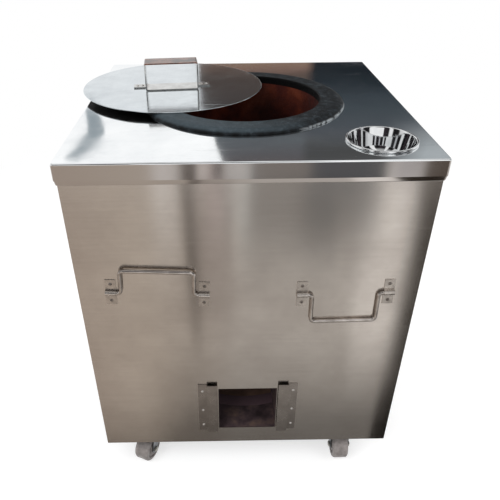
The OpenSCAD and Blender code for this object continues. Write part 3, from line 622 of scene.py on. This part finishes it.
def potTree(look):
    sizes = ("mouth", "belly", "foot", "shoulder", "neck", "rim")
    tree, given = startTree("potWall", {**{size: "Float" for size in sizes}, "finish": "Material"})
    counts = {"Vertices X": look["across"] + 1, "Vertices Y": look["up"] + 1}
    grid = addNode(tree, "GeometryNodeMeshGrid", {"Size X": 1.0, "Size Y": 1.0, **counts}).outputs["Mesh"]
    where = addNode(tree, "GeometryNodeInputPosition").outputs[0]
    angle = calculate(tree, "MULTIPLY", axisOf(tree, where, "X"), 2 * math.pi)
    share = calculate(tree, "ADD", axisOf(tree, where, "Y"), 0.5)
    height = ranged(tree, share, 0.0, 1.0, given["foot"], given["rim"])
    turn = ranged(tree, height, given["shoulder"], given["neck"], 0.0, math.pi)
    cosine = calculate(tree, "COSINE", turn)
    radius = ranged(tree, cosine, -1.0, 1.0, given["mouth"], given["belly"])
    flat = addNode(tree, "ShaderNodeCombineXYZ", {"X": radius, "Z": height}).outputs[0]
    spun = addNode(tree, "ShaderNodeVectorRotate", {"Vector": flat, "Angle": angle}, rotation_type="Z_AXIS")
    wall = addNode(tree, "GeometryNodeSetPosition", {"Geometry": grid, "Position": spun.outputs[0]})
    seam = {"Geometry": wall.outputs[0], "Distance": 0.00001}
    closed = addNode(tree, "GeometryNodeMergeByDistance", seam)
    endTree(tree, closed.outputs[0], given["finish"])
    return tree


def makePot(look):
    piece = linkMesh("clayPot", bpy.data.meshes.new("clayPot"))
    runTree(piece, potTree(look), {**look, "finish": firedClay})
    shape = bmesh.new()
    shape.from_mesh(piece.data)
    bmesh.ops.recalc_face_normals(shape, faces=shape.faces)
    for v in shape.verts:
        dent = sum(noise.noise(v.co * scale) * depth for scale, depth in look["dents"])
        v.co += Vector((bodyX, 0, 0)) + Vector((v.co.x, v.co.y, 0)).normalized() * dent
    shape.to_mesh(piece.data)
    shape.free()
    if sum(p.normal.dot(Vector((p.center.x - bodyX, p.center.y, 0))) for p in piece.data.polygons) > 0:
        piece.data.flip_normals()
    modify(piece, "SOLIDIFY", thickness=look["wall"], offset=-1)
    xs, ys, zs = look["ashHole"]
    corners = [(x, y, z) for x in xs for y in ys for z in zs]
    cutter = linkMesh("ashCutter", meshFrom("ashCutter", corners, boxFaces), firedClay)
    modify(piece, "BOOLEAN", object=cutter, solver="EXACT")
    bpy.data.objects.remove(cutter)
    smoothMesh(piece.data)
    return piece


clayPot = makePot(pot)
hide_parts("clay_pot")
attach(clayPot, "cabinet")


# mouth collar: cast ring with a flat seat and a worn, rounded shoulder

collarLow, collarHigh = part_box("mouth_collar")
collar = {"inner": 0.186, "outer": 0.245, "flat": 0.225, "seat": collarHigh.z, "base": 0.9142,
          "sleeve": 0.193, "foot": collarLow.z, "rounding": 0.0022, "steepening": 1.9,
          "dents": ((60, 0.00035), (170, 0.00018))}


def collarProfile(look):
    inner, outer, seat, base = look["inner"], look["outer"], look["seat"], look["base"]
    flat, rounding = look["flat"], look["rounding"]
    profile = [(inner, look["foot"]), (inner, base), (inner, (base + seat) / 2)]
    profile += arc((inner + rounding, seat - rounding), rounding, 180, 90, 5)
    profile += [(0.194, seat), (0.204, seat), (0.214, seat), (flat, seat)]
    for i in range(1, 9):
        # a shoulder that drops ever more steeply to a thin edge
        share = i / 9
        drop = (seat - base - rounding) * share ** look["steepening"]
        profile.append((flat + (outer - flat) * share, seat - drop))
    profile += [(outer - 0.0004, base + 0.0012), (outer, base + 0.0006), (outer - 0.0005, base)]
    return profile + [(0.225, base), (0.205, base), (look["sleeve"], base), (look["sleeve"], look["foot"])]


def collarWear(point, radius, height):
    # nothing rises above the seat, where the lid lies
    wear = abs(sum(noise.noise(point * scale) * depth for scale, depth in collar["dents"]))
    outwards = Vector((point.x, point.y, 0)).normalized()
    if radius < collar["inner"] + 0.0015:
        return outwards * wear
    if height > collar["base"] + 0.003:
        return Vector((0, 0, -wear))
    return -outwards * wear if radius > collar["outer"] - 0.005 else Vector((0, 0, 0))


collarMesh = lathe("mouthCollar", collarProfile(collar), 200, (bodyX, 0, 0), wear=collarWear)
mouthCollar = linkMesh("mouthCollar", collarMesh, castIron, 50)
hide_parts("mouth_collar")
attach(mouthCollar, "cabinet")


# lid disc with a rolled edge

lidLow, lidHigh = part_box("lid")
lidDisc = {"radius": (lidHigh.x - lidLow.x) / 2, "foot": lidLow.z, "sheet": lidHigh.z - lidLow.z,
           "place": ((lidLow.x + lidHigh.x) / 2, (lidLow.y + lidHigh.y) / 2)}


def makeLid(look):
    foot, edge = look["foot"], look["sheet"] / 2
    rim = arc((look["radius"] - edge, foot + edge), edge, -90, 90, 6)
    reaches = [0.0, 0.1, 0.2, look["radius"] - edge - 0.0004]  # the last one keeps the flats truly flat
    profile = [(r, foot) for r in reaches] + rim + [(r, foot + look["sheet"]) for r in reversed(reaches)]
    return linkMesh("lid", lathe("lid", profile, 192, (*look["place"], 0)), polishedLid, 30)


lid = makeLid(lidDisc)
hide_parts("lid")
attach(lid, "lid_and_handle")


# dip bowl: spun dish with a rolled rim

bowl = {"hole": 0.070, "gap": 0.0003, "depth": 0.050, "lean": 14, "corner": 0.024, "sheet": 0.0012,
        "rim": 0.0025, "place": (*topSheet["bowl"], topSheet["height"])}


def makeBowl(look):
    dish, depth, corner = look["hole"] - look["gap"], look["depth"], look["corner"]
    lean = math.radians(look["lean"])
    curl = look["rim"] + look["gap"]
    wall = (depth + curl - corner * (1 - math.sin(lean))) / math.cos(lean)
    middle = (dish - corner * math.cos(lean) - wall * math.sin(lean), corner - depth)

    def skin(inwards):
        turn = arc(middle, corner - inwards, -90, -look["lean"], 14)
        x, z = turn[-1]
        steps = [wall * share for share in (0.3, 0.6, 0.94)]
        rise = [(x + step * math.sin(lean), z + step * math.cos(lean)) for step in steps]
        return [(0.0, inwards - depth), (middle[0] * 0.5, inwards - depth)] + turn + rise

    roll = arc((dish + look["rim"] / 2, curl), look["rim"], 170, -80, 16)
    profile = skin(look["sheet"]) + roll + skin(0)[::-1]
    return linkMesh("dipBowl", lathe("dipBowl", profile, 144, look["place"]), spunBowl, 50)


dipBowl = makeBowl(bowl)
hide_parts("dip_bowl")
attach(dipBowl, "bowl")
print("pot, collar, lid and bowl made")


# carry handles: bent rod

leftHandle = {"node": "left_carry_handle", "body": "left_grip", "joint": "left_handle_swing", "legs": 0.160,
              "drop": 0.062, "turned": 4, "rod": 0.0045, "bend": 0.010, "stub": 0.0245}
rightHandle = {**leftHandle, "node": "right_carry_handle", "body": "right_grip",
               "joint": "right_handle_swing", "legs": 0.147, "drop": 0.076, "turned": 180}


def handlePath(look):
    leg, bend, drop, stub = look["legs"] / 2, look["bend"], look["drop"], look["stub"]
    half = [(leg + bend + stub - stub * i / 8, 0.0) for i in range(8)]
    half += arc((leg + bend, bend), bend, 270, 180, 10)
    half += [(leg, bend + (drop - 2 * bend) * i / 6) for i in range(1, 6)]
    half += arc((leg - bend, drop - bend), bend, 0, 90, 10)
    grip = [(x * (leg - bend), drop) for x in (0.6, 0.2, -0.2, -0.6)]
    return [Vector((x, 0, z)) for x, z in half + grip + [(-x, z) for x, z in reversed(half)]]


for look in (leftHandle, rightHandle):
    joint = jointNamed(look["joint"])
    axis = Vector(joint["axis"])
    place = Matrix.Translation(joint["pos_m"]) @ Matrix.Rotation(math.atan2(-axis.z, axis.x), 4, "Y")
    place = place @ Matrix.Rotation(math.radians(look["turned"]), 4, "X")
    name = camelName(look["node"])
    piece = linkMesh(name, tube(name, [place @ p for p in handlePath(look)], look["rod"]), drawnRod, 50)
    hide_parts(look["node"])
    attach(piece, look["body"])
print("carry handles made")


# wheels: one-piece moulded nylon

wheelLook = {"bore": 0.00755, "tread": 0.0375, "half": 0.021, "shoulder": 0.007, "band": 0.005,
             "hub": 0.017, "recess": 0.004, "hollow": 0.027}


def wheelProfile(look):
    half, bore, hub, hollow = look["half"], look["bore"], look["hub"], look["hollow"]
    deep, shoulder = half - look["recess"], look["shoulder"]
    side = [(bore, half - 0.0006), (bore + 0.0006, half), (hub - 0.0007, half), (hub, half - 0.0007),
            (hub + 0.0003, deep + 0.0009), (hub + 0.0012, deep), (hollow - 0.0012, deep),
            (hollow - 0.0003, deep + 0.0009), (hollow, half - 0.0007), (hollow + 0.0007, half)]
    side += arc((look["tread"] - shoulder, half - shoulder), shoulder, 90, 0, 9)
    side.append((look["tread"], look["band"]))
    return side + [(r, -z) for r, z in reversed(side)]


for corner in castorNames:
    joint = jointNamed(corner + "_wheel_roll")
    turn = Vector((0, 0, 1)).rotation_difference(Vector(joint["axis"])).to_matrix()
    name = camelName(corner + "_wheel")
    piece = linkMesh(name, lathe(name, wheelProfile(wheelLook), 96, joint["pos_m"], turn), greyNylon, 40)
    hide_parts(corner + "_wheel")
    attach(piece, corner + "_roller")
print("wheels made")


# rivets, bolts and nuts: one tree of Geometry Nodes sets them all out

rivetLook = {"head": 0.004, "rise": 0.002, "shank": 0.002, "wallGrip": 0.003, "lidGrip": 0.005,
             "tail": 0.003, "tailHeight": 0.0012, "hollow": 0.0012, "hollowDepth": 0.0014}
boltLook = {"head": 0.0072, "headHeight": 0.0052, "shank": 0.004, "length": 0.0216, "nutHeight": 0.0052,
            "bore": 0.00405, "edge": 0.0004, "point": 0.0006, "seed": 7}


def setOutTree():
    tree, given = startTree("setOut", {"Geometry": "Geometry", "fastener": "Object", "facing": "Vector",
                                       "seed": "Int", "finish": "Material"})
    part = addNode(tree, "GeometryNodeObjectInfo", {"Object": given["fastener"]})
    spin = addNode(tree, "FunctionNodeRandomValue", {2: 0.0, 3: 2 * math.pi, "Seed": given["seed"]},
                   data_type="FLOAT")
    own = addNode(tree, "ShaderNodeCombineXYZ", {"Z": spin.outputs[1]})
    stood = addNode(tree, "GeometryNodeInstanceOnPoints", {
        "Points": given["Geometry"], "Instance": part.outputs["Geometry"], "Rotation": given["facing"]})
    spun = addNode(tree, "GeometryNodeRotateInstances", {
        "Instances": stood.outputs[0], "Rotation": own.outputs[0], "Local Space": True})
    endTree(tree, spun.outputs[0], given["finish"])
    return tree


def rivetProfile(look, grip):
    head, rise, hollow, shank, tail = (look[k] for k in ("head", "rise", "hollow", "shank", "tail"))
    ball = (head ** 2 + rise ** 2) / (2 * rise)
    start = 90 - math.degrees(math.asin((hollow + 0.0003) / ball))
    dome = arc((0, rise - ball), ball, start, 90 - math.degrees(math.asin(head / ball)), 7)
    pit, end = rise - look["hollowDepth"], -grip - look["tailHeight"]
    return [(0.0, pit), (hollow - 0.0002, pit), (hollow, rise - 0.0004)] + dome + [
        (head, 0.0), (shank, 0.0), (shank, -grip), (tail, -grip), (tail, end), (0.0, end)]


def hexPrism(radius, height, bore, edge):
    # hexagon with its corners turned off, standing on z = 0
    levels = ((radius - edge, 0.0), (radius, edge), (radius, height - edge), (radius - edge, height))
    points = [p for r, z in levels for p in circle(r, z, 6)]
    rings = [list(range(6 * k, 6 * k + 6)) for k in range(4)]
    faces = quadsBetween(rings)
    if not bore:
        return points, faces + [tuple(reversed(rings[0])), tuple(rings[3])]
    points += circle(bore, 0.0, 24) + circle(bore, height, 24)
    low, high = list(range(24, 48)), list(range(48, 72))
    faces += [(a, c, d, b) for (a, b), (c, d) in zip(around(low), around(high))]
    for inner, outer, flip in ((low, rings[0], True), (high, rings[3], False)):
        for k in range(6):
            ring = [outer[k], outer[(k + 1) % 6]] + [inner[(4 * (k + 1) - j) % 24] for j in range(5)]
            faces.append(tuple(reversed(ring)) if flip else tuple(ring))
    return points, faces


def boltMesh(look):
    points, faces = hexPrism(look["head"], look["headHeight"], 0, look["edge"])
    shank, length, point, rings = look["shank"], look["length"], look["point"], []
    for radius, height in ((shank, look["headHeight"]), (shank, length - point), (shank - point, length)):
        rings.append(list(range(len(points), len(points) + 20)))
        points += circle(radius, height, 20)
    faces += quadsBetween(rings) + [tuple(reversed(rings[0])), tuple(rings[-1])]
    return meshFrom("bolt", points, faces)


def seatsOf(node, axis, end, inwards=0.0):
    # the middle of each solid's box, brought to its low (0) or high (1) end along an axis
    places = []
    for box in islandBoxes(node):
        place = (box[0] + box[1]) / 2
        place[axis] = box[end][axis] + (-inwards if end else inwards)
        places.append(place)
    return places


setOut = setOutTree()
wallRivet = linkMesh("wallRivet", lathe("wallRivet", rivetProfile(rivetLook, rivetLook["wallGrip"]), 24))
lidRivet = linkMesh("lidRivet", lathe("lidRivet", rivetProfile(rivetLook, rivetLook["lidGrip"]), 24))
bolt = linkMesh("bolt", boltMesh(boltLook))
nutSizes = [boltLook[k] for k in ("head", "nutHeight", "bore", "edge")]
nut = linkMesh("nut", meshFrom("nut", *hexPrism(*nutSizes)))
forwards, upright, rise = (math.pi / 2, 0, 0), (0, 0, 0), rivetLook["rise"]
fasteners = [
    # node, body, slot, one of them, how it faces, finish, axis and end of its seat, how far in
    ("guide_rivets", "cabinet", "rivet_metal", wallRivet, forwards, rivetMetal, 1, 0, rise),
    ("clamp_rivets", "cabinet", "rivet_metal", wallRivet, forwards, dullRivet, 1, 0, rise),
    ("lid_rivets", "lid_and_handle", "rivet_metal", lidRivet, upright, rivetMetal, 2, 1, rise),
    ("castor_bolts", "cabinet", "zinc_hardware", bolt, upright, zincHardware, 2, 0, 0.0),
    ("castor_nuts", "cabinet", "zinc_hardware", nut, upright, zincHardware, 2, 0, 0.0),
]
for node, body, slot, part, facing, finish, axis, end, inwards in fasteners:
    piece = linkMesh(camelName(node), meshFrom(node, seatsOf(node, axis, end, inwards), []))
    runTree(piece, setOut, {"fastener": part, "facing": facing, "seed": boltLook["seed"], "finish": finish})
    smoothMesh(piece.data)
    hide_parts(node)
    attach(piece, body)
for part in (wallRivet, lidRivet, bolt, nut):
    bpy.data.objects.remove(part)
print("fasteners set out:", len(fasteners), "kinds")


# studio: pale floor and white background

studio = {"floorHalf": 8.0, "floorShade": "#c4c4c4", "floorGlow": 0.62, "plainFrom": 0.9, "plainTo": 2.2,
          "worldDiffuse": "#bcbcbc"}


def glow(tree, tone, strength=1.0):
    return addNode(tree, "ShaderNodeEmission", {"Color": tone, "Strength": strength}).outputs[0]


def whiteRays(tree):
    # 1 for the rays that see the white background
    path = addNode(tree, "ShaderNodeLightPath").outputs
    first = calculate(tree, "MAXIMUM", path["Is Camera Ray"], path["Is Glossy Ray"])
    return calculate(tree, "MAXIMUM", first, path["Is Transmission Ray"])


# the floor keeps the oven's shadow close by and turns plain white away from it
floorMaterial, tree, place = startMaterial("paleStudioFloor")
mask = whiteRays(tree)
matte = addNode(tree, "ShaderNodeBsdfDiffuse", {"Color": studio["floorShade"]}).outputs[0]
lit = glow(tree, "#ffffff", calculate(tree, "MULTIPLY", mask, studio["floorGlow"]))
both = addNode(tree, "ShaderNodeAddShader", {0: matte, 1: lit}).outputs[0]
distance = vectorMath(tree, "LENGTH", place, result="Value")
away = ranged(tree, distance, studio["plainFrom"], studio["plainTo"])
share = calculate(tree, "MULTIPLY", away, mask)
ground = addNode(tree, "ShaderNodeMixShader", {0: share, 1: both, 2: glow(tree, "#ffffff")})
endMaterial(tree, ground.outputs[0])
side = studio["floorHalf"]
floorCorners = [(-side, -side, 0), (side, -side, 0), (side, side, 0), (-side, side, 0)]
floor = linkMesh("floor", meshFrom("floor", floorCorners, [(0, 1, 2, 3)]), floorMaterial)

world = bpy.data.worlds.new("studio")
bpy.context.scene.world = world
world.use_nodes = True
tree = world.node_tree
tree.nodes.clear()
soft, white = (addNode(tree, "ShaderNodeBackground", {"Color": tone, "Strength": 1.0}).outputs[0]
               for tone in (studio["worldDiffuse"], "#ffffff"))
sky = addNode(tree, "ShaderNodeMixShader", {0: whiteRays(tree), 1: soft, 2: white})
addNode(tree, "ShaderNodeOutputWorld", {"Surface": sky.outputs[0]})

# cards that only the polished metal sees, in place of the room round the oven

def unseenCard(name, points, faces, material):
    card = linkMesh(name, meshFrom(name, points, faces), material)
    for ray in ("camera", "diffuse", "shadow", "transmission", "volume_scatter"):
        setattr(card, "visible_" + ray, False)


# dark far side of the room, mirrored by the right part of the top and of the lid
roomCard = {
    "edge": [(-0.17, 1.22), (-0.17, 1.60), (-0.09, 1.73), (-0.07, 1.82), (-0.04, 1.91), (0.06, 2.5)],
    "distance": 2.0, "reach": 2.4, "levels": (1.26, 2.06), "turnX": (0.47, 0.53), "paleX": (1.0, 1.3),
    "paleZ": (1.62, 1.86), "pale": "#a8adb0",
    "left": [(0.0, "#83705f"), (0.06, "#81695d"), (0.10, "#7c6359"), (0.13, "#4c4440"), (0.25, "#514743"),
             (0.40, "#4c4644"), (0.56, "#575a5e"), (0.66, "#5d6266"), (0.78, "#59575a"), (1.0, "#625a55")],
    "right": [(0.0, "#1f2126"), (0.08, "#1d2227"), (0.20, "#232a30"), (0.30, "#3b4248"), (0.45, "#454c51"),
              (0.56, "#50545a"), (0.65, "#56585a"), (0.74, "#454545"), (1.0, "#5b5b5c")]}
roomMaterial, tree, place = startMaterial("darkRoomCard")
x, z = axisOf(tree, place, "X"), axisOf(tree, place, "Z")
height = ranged(tree, z, *roomCard["levels"])
left, right = (rampOf(tree, height, roomCard[k]) for k in ("left", "right"))
sides = mixTones(tree, ranged(tree, x, *roomCard["turnX"]), left, right)
paleX, paleZ = ranged(tree, x, *roomCard["paleX"]), ranged(tree, z, *roomCard["paleZ"])
paleShare = calculate(tree, "MULTIPLY", paleX, paleZ)
endMaterial(tree, glow(tree, mixTones(tree, paleShare, sides, roomCard["pale"])))
points = [(x, roomCard["distance"], z) for x, z in roomCard["edge"]]
points += [(roomCard["reach"], roomCard["distance"], z) for _, z in reversed(roomCard["edge"])]
last = len(points) - 1
faces = [(k, last - k, last - k - 1, k + 1) for k in range(len(roomCard["edge"]) - 1)]
unseenCard("roomCard", points, faces, roomMaterial)

# the same room higher up, striped with windows, seen only in the bowl and the bends
loftCard = {"distance": 2.02, "low": 2.45, "high": 4.8, "half": 2.6, "windows": [
    (0.0, "#2a292b"), (0.22, "#2e2d2f"), (0.25, "#e6e6e8"), (0.32, "#e6e6e8"), (0.35, "#232224"),
    (0.50, "#2b282b"), (0.53, "#c9c9cc"), (0.57, "#c9c9cc"), (0.60, "#1f1f21"), (0.74, "#29282a"),
    (0.77, "#f0f0f0"), (0.82, "#f0f0f0"), (0.85, "#262527"), (1.0, "#2c2b2d")]}
half, back, low, high = (loftCard[k] for k in ("half", "distance", "low", "high"))
loftMaterial, tree, place = startMaterial("loftRoomCard")
share = ranged(tree, axisOf(tree, place, "X"), -half, half)
endMaterial(tree, glow(tree, rampOf(tree, share, loftCard["windows"])))
points = [(-half, back, low), (half, back, low), (half, back, high), (-half, back, high)]
unseenCard("loftCard", points, [(0, 1, 2, 3)], loftMaterial)

# a curtain's fold at the far left, mirrored by the near left of the top
foldCard = {"route": [(-0.851, 1.541), (-0.84, 1.60), (-0.829, 1.66), (-0.835, 1.71), (-0.884, 1.767),
                      (-0.95, 1.825), (-1.03, 1.89)],
            "widths": [0.05, 0.08, 0.10, 0.11, 0.12, 0.11, 0.09], "tone": "#8d979d", "distance": 1.99}
foldMaterial, tree, place = startMaterial("curtainFoldCard")
endMaterial(tree, glow(tree, foldCard["tone"]))
points = []
for (x, z), width in zip(foldCard["route"], foldCard["widths"]):
    points += [(x - 0.5 * width, foldCard["distance"], z), (x + 0.5 * width, foldCard["distance"], z)]
faces = [(2 * k, 2 * k + 1, 2 * k + 3, 2 * k + 2) for k in range(len(foldCard["route"]) - 1)]
unseenCard("foldCard", points, faces, foldMaterial)

# Floor before the front, mirrored by the front panel and the lip. Across runs from the left edge (0) to the
# right edge (1) of the panel as it is seen from the camera, levels from the oven's foot (0) to its top (1).
frontCard = {
    "near": -0.39, "far": -3.4, "half": 2.6, "height": 0.003, "eye": (-0.04, 0.581), "panelY": 0.956,
    "across": (-0.336, 0.449), "levels": (1.0, 0.34), "lean": (0.14, 0.31), "leanBy": 0.17, "tilt": -0.05,
    "base": [(0.0, "#bbb0a6"), (0.2, "#c3bab0"), (0.37, "#beb7b0"), (0.48, "#cbc7c2"), (1.0, "#cfccc8")],
    "footShadow": [(0.0, "#949494"), (0.06, "#adadad"), (0.12, "#c2c2c2"), (0.2, "#dbdbdb"), (0.3, "#ededed"),
               (0.42, "#ffffff")]}
onLip = (0.995, 1.005)
reflectedBands = {
    # what it could be: middle, half width, soft edge, from level, full at level, tone
    "door frame": (1.03, 0.077, 0.014, -1.0, -0.5, "#302a24"),
    "open door": (0.886, 0.042, 0.045, 0.34, 0.55, "#fffdfa"),
    "curtain's edge": (0.408, 0.036, 0.03, 0.60, 0.80, "#a39b96"),
    "post": (0.342, 0.010, 0.016, 0.45, 0.76, "#5f5853"),
    "far wall": (0.615, 0.115, 0.04, 0.70, 0.95, "#787776"),
    "cupboard": (0.745, 0.075, 0.06, 0.80, 0.95, "#3e4044"),
    "lit jamb": (0.282, 0.022, 0.02, 0.80, 0.93, "#dcd9d6"),
    "curtain": (0.412, 0.010, 0.014, 0.88, 0.94, "#dccfcf"),
    "seam": (0.448, 0.006, 0.012, 0.88, 0.94, "#949294"),
    "window bar": (0.487, 0.012, 0.014, 0.86, 0.93, "#c6caca"),
    "lip, far wall": (0.60, 0.075, 0.02, *onLip, "#928e8b"),
    "lip, cupboard": (0.742, 0.066, 0.045, *onLip, "#66696d"),
    "lip, open door": (0.905, 0.020, 0.035, *onLip, "#c6c5c7"),
    "lip, door frame": (1.03, 0.077, 0.014, *onLip, "#665e57"),
    "lip, post": (0.342, 0.014, 0.012, *onLip, "#5b5450"),
    "lip, fold": (0.415, 0.009, 0.01, *onLip, "#726d6b"),
    "lip, curtain": (0.375, 0.010, 0.01, *onLip, "#e4dfdc"),
    "lip, window": (0.468, 0.028, 0.012, *onLip, "#dcdcdb"),
    "lip, lit jamb": (0.285, 0.020, 0.02, *onLip, "#e2e0de")}
frontMaterial, tree, place = startMaterial("frontFloorCard")
depth = calculate(tree, "SUBTRACT", frontCard["eye"][1], axisOf(tree, place, "Y"))
offset = calculate(tree, "SUBTRACT", axisOf(tree, place, "X"), frontCard["eye"][0])
across = ranged(tree, calculate(tree, "DIVIDE", offset, depth), *frontCard["across"], clamp=False)
level = calculate(tree, "DIVIDE", frontCard["panelY"], depth)
level = ranged(tree, level, *frontCard["levels"], clamp=False)
tone = rampOf(tree, across, frontCard["base"])
for middle, halfWidth, edge, start, full, shade in reflectedBands.values():
    reach = calculate(tree, "ABSOLUTE", calculate(tree, "SUBTRACT", across, middle))
    inBand = ranged(tree, reach, halfWidth + edge, halfWidth, interpolation_type="SMOOTHSTEP")
    share = calculate(tree, "MULTIPLY", inBand, ranged(tree, level, start, full))
    tone = mixTones(tree, share, tone, shade)
# painted shadow: the mirrored floor darkens towards the oven's foot, and more so towards the right
lean = ranged(tree, across, *frontCard["lean"], 0.0, frontCard["leanBy"])
leaning = calculate(tree, "SUBTRACT", level, lean)
leaning = calculate(tree, "MULTIPLY_ADD", across, frontCard["tilt"], leaning)
shaded = vectorMath(tree, "MULTIPLY", tone, rampOf(tree, leaning, frontCard["footShadow"]))
endMaterial(tree, glow(tree, shaded))
near, far, half, height = (frontCard[k] for k in ("near", "far", "half", "height"))
points = [(-half, far, height), (half, far, height), (half, near, height), (-half, near, height)]
unseenCard("frontCard", points, [(0, 1, 2, 3)], frontMaterial)

# the room behind the camera: dark, with bright windows, seen only in the bowl, the rods and the bends
domeCard = {
    "steps": [(3.25, 0.9), (3.2, 1.75), (3.2, 3.2), (2.5, 4.2), (1.3, 4.7), (0.05, 4.8)], "from": 182,
    "to": 358, "sides": 44, "fadeZ": (3.4, 4.6), "fade": 0.55, "gap": (257, 288),
    "windows": [
        (0.0, "#e8e8e8"), (0.10, "#dcdcdc"), (0.13, "#242324"), (0.24, "#1c1b1d"), (0.26, "#f4f4f4"),
        (0.31, "#f4f4f4"), (0.33, "#262426"), (0.45, "#3b3438"), (0.47, "#1a1a1c"), (0.56, "#222224"),
        (0.58, "#ffffff"), (0.66, "#ffffff"), (0.68, "#1b1b1d"), (0.78, "#29282a"), (0.80, "#d8d8da"),
        (0.84, "#c8c8ca"), (0.86, "#232325"), (0.95, "#3a3a3c"), (1.0, "#e0e0e0")]}
domeMaterial, tree, place = startMaterial("windowedRoomCard")
heading = (0, 0, math.radians(180 - domeCard["from"]))
turned = addNode(tree, "ShaderNodeMapping", {"Vector": place, "Rotation": heading})
angle = addNode(tree, "ShaderNodeTexGradient", {"Vector": turned.outputs[0]}, gradient_type="RADIAL")
windows = rampOf(tree, ranged(tree, angle.outputs["Fac"], 0.0, 0.5), domeCard["windows"])
fade = ranged(tree, axisOf(tree, place, "Z"), *domeCard["fadeZ"], 0.0, domeCard["fade"])
endMaterial(tree, glow(tree, mixTones(tree, fade, windows, "#ffffff")))
start, sides, rows = domeCard["from"], domeCard["sides"], len(domeCard["steps"])
width = (domeCard["to"] - start) / sides
points, faces = [], []
for i in range(sides + 1):
    angle = math.radians(start + width * i)
    points += [(r * math.cos(angle), r * math.sin(angle), z) for r, z in domeCard["steps"]]
for i in range(sides):
    # the lowest row is open where the bowl's far wall would mirror it
    inGap = domeCard["gap"][0] < start + width * (i + 0.5) < domeCard["gap"][1]
    for j in range(1 if inGap else 0, rows - 1):
        faces.append((i * rows + j, i * rows + j + 1, (i + 1) * rows + j + 1, (i + 1) * rows + j))
unseenCard("roomDome", points, faces, domeMaterial)

lamps = [
    # name, place, aim, size, watts
    ("keyLamp", (-1.9, -2.2, 3.1), (0, 0, 0.5), 2.4, 70),
    ("fillLamp", (2.6, -1.6, 2.4), (0, 0, 0.5), 2.2, 32),
    ("backLamp", (0.6, 2.8, 3.0), (0, 0, 0.7), 2.4, 34)]
for name, place, aim, size, watts in lamps:
    data = bpy.data.lights.new(name, "AREA")
    data.shape = "DISK"
    data.size = size
    data.energy = watts
    lamp = bpy.data.objects.new(name, data)
    lamp.location = place
    lamp.rotation_euler = (Vector(aim) - Vector(place)).to_track_quat("-Z", "Y").to_euler()
    lamp.visible_glossy = False
    bpy.context.scene.collection.objects.link(lamp)

cameraLook = {"place": (-0.0425, -1.3314, 1.3172), "right": (0.99988, -0.01273, -0.00845),
              "forward": (0.00597, 0.83454, -0.55092), "lens": 38.853, "shift": (0.04816, 0.0231)}
cameraData = bpy.data.cameras.new("photoCamera")
camera = bpy.data.objects.new("photoCamera", cameraData)
bpy.context.scene.collection.objects.link(camera)
right = Vector(cameraLook["right"]).normalized()
back = -Vector(cameraLook["forward"]).normalized()
up = back.cross(right).normalized()
turn = Matrix((up.cross(back), up, back)).transposed().to_4x4()
camera.matrix_world = Matrix.Translation(cameraLook["place"]) @ turn
cameraData.sensor_width = 36
cameraData.lens = cameraLook["lens"]
cameraData.shift_x, cameraData.shift_y = cameraLook["shift"]
cameraData.clip_start = 0.01
bpy.context.scene.camera = camera
bpy.context.scene.view_settings.view_transform = "Standard"
print("studio and camera set")
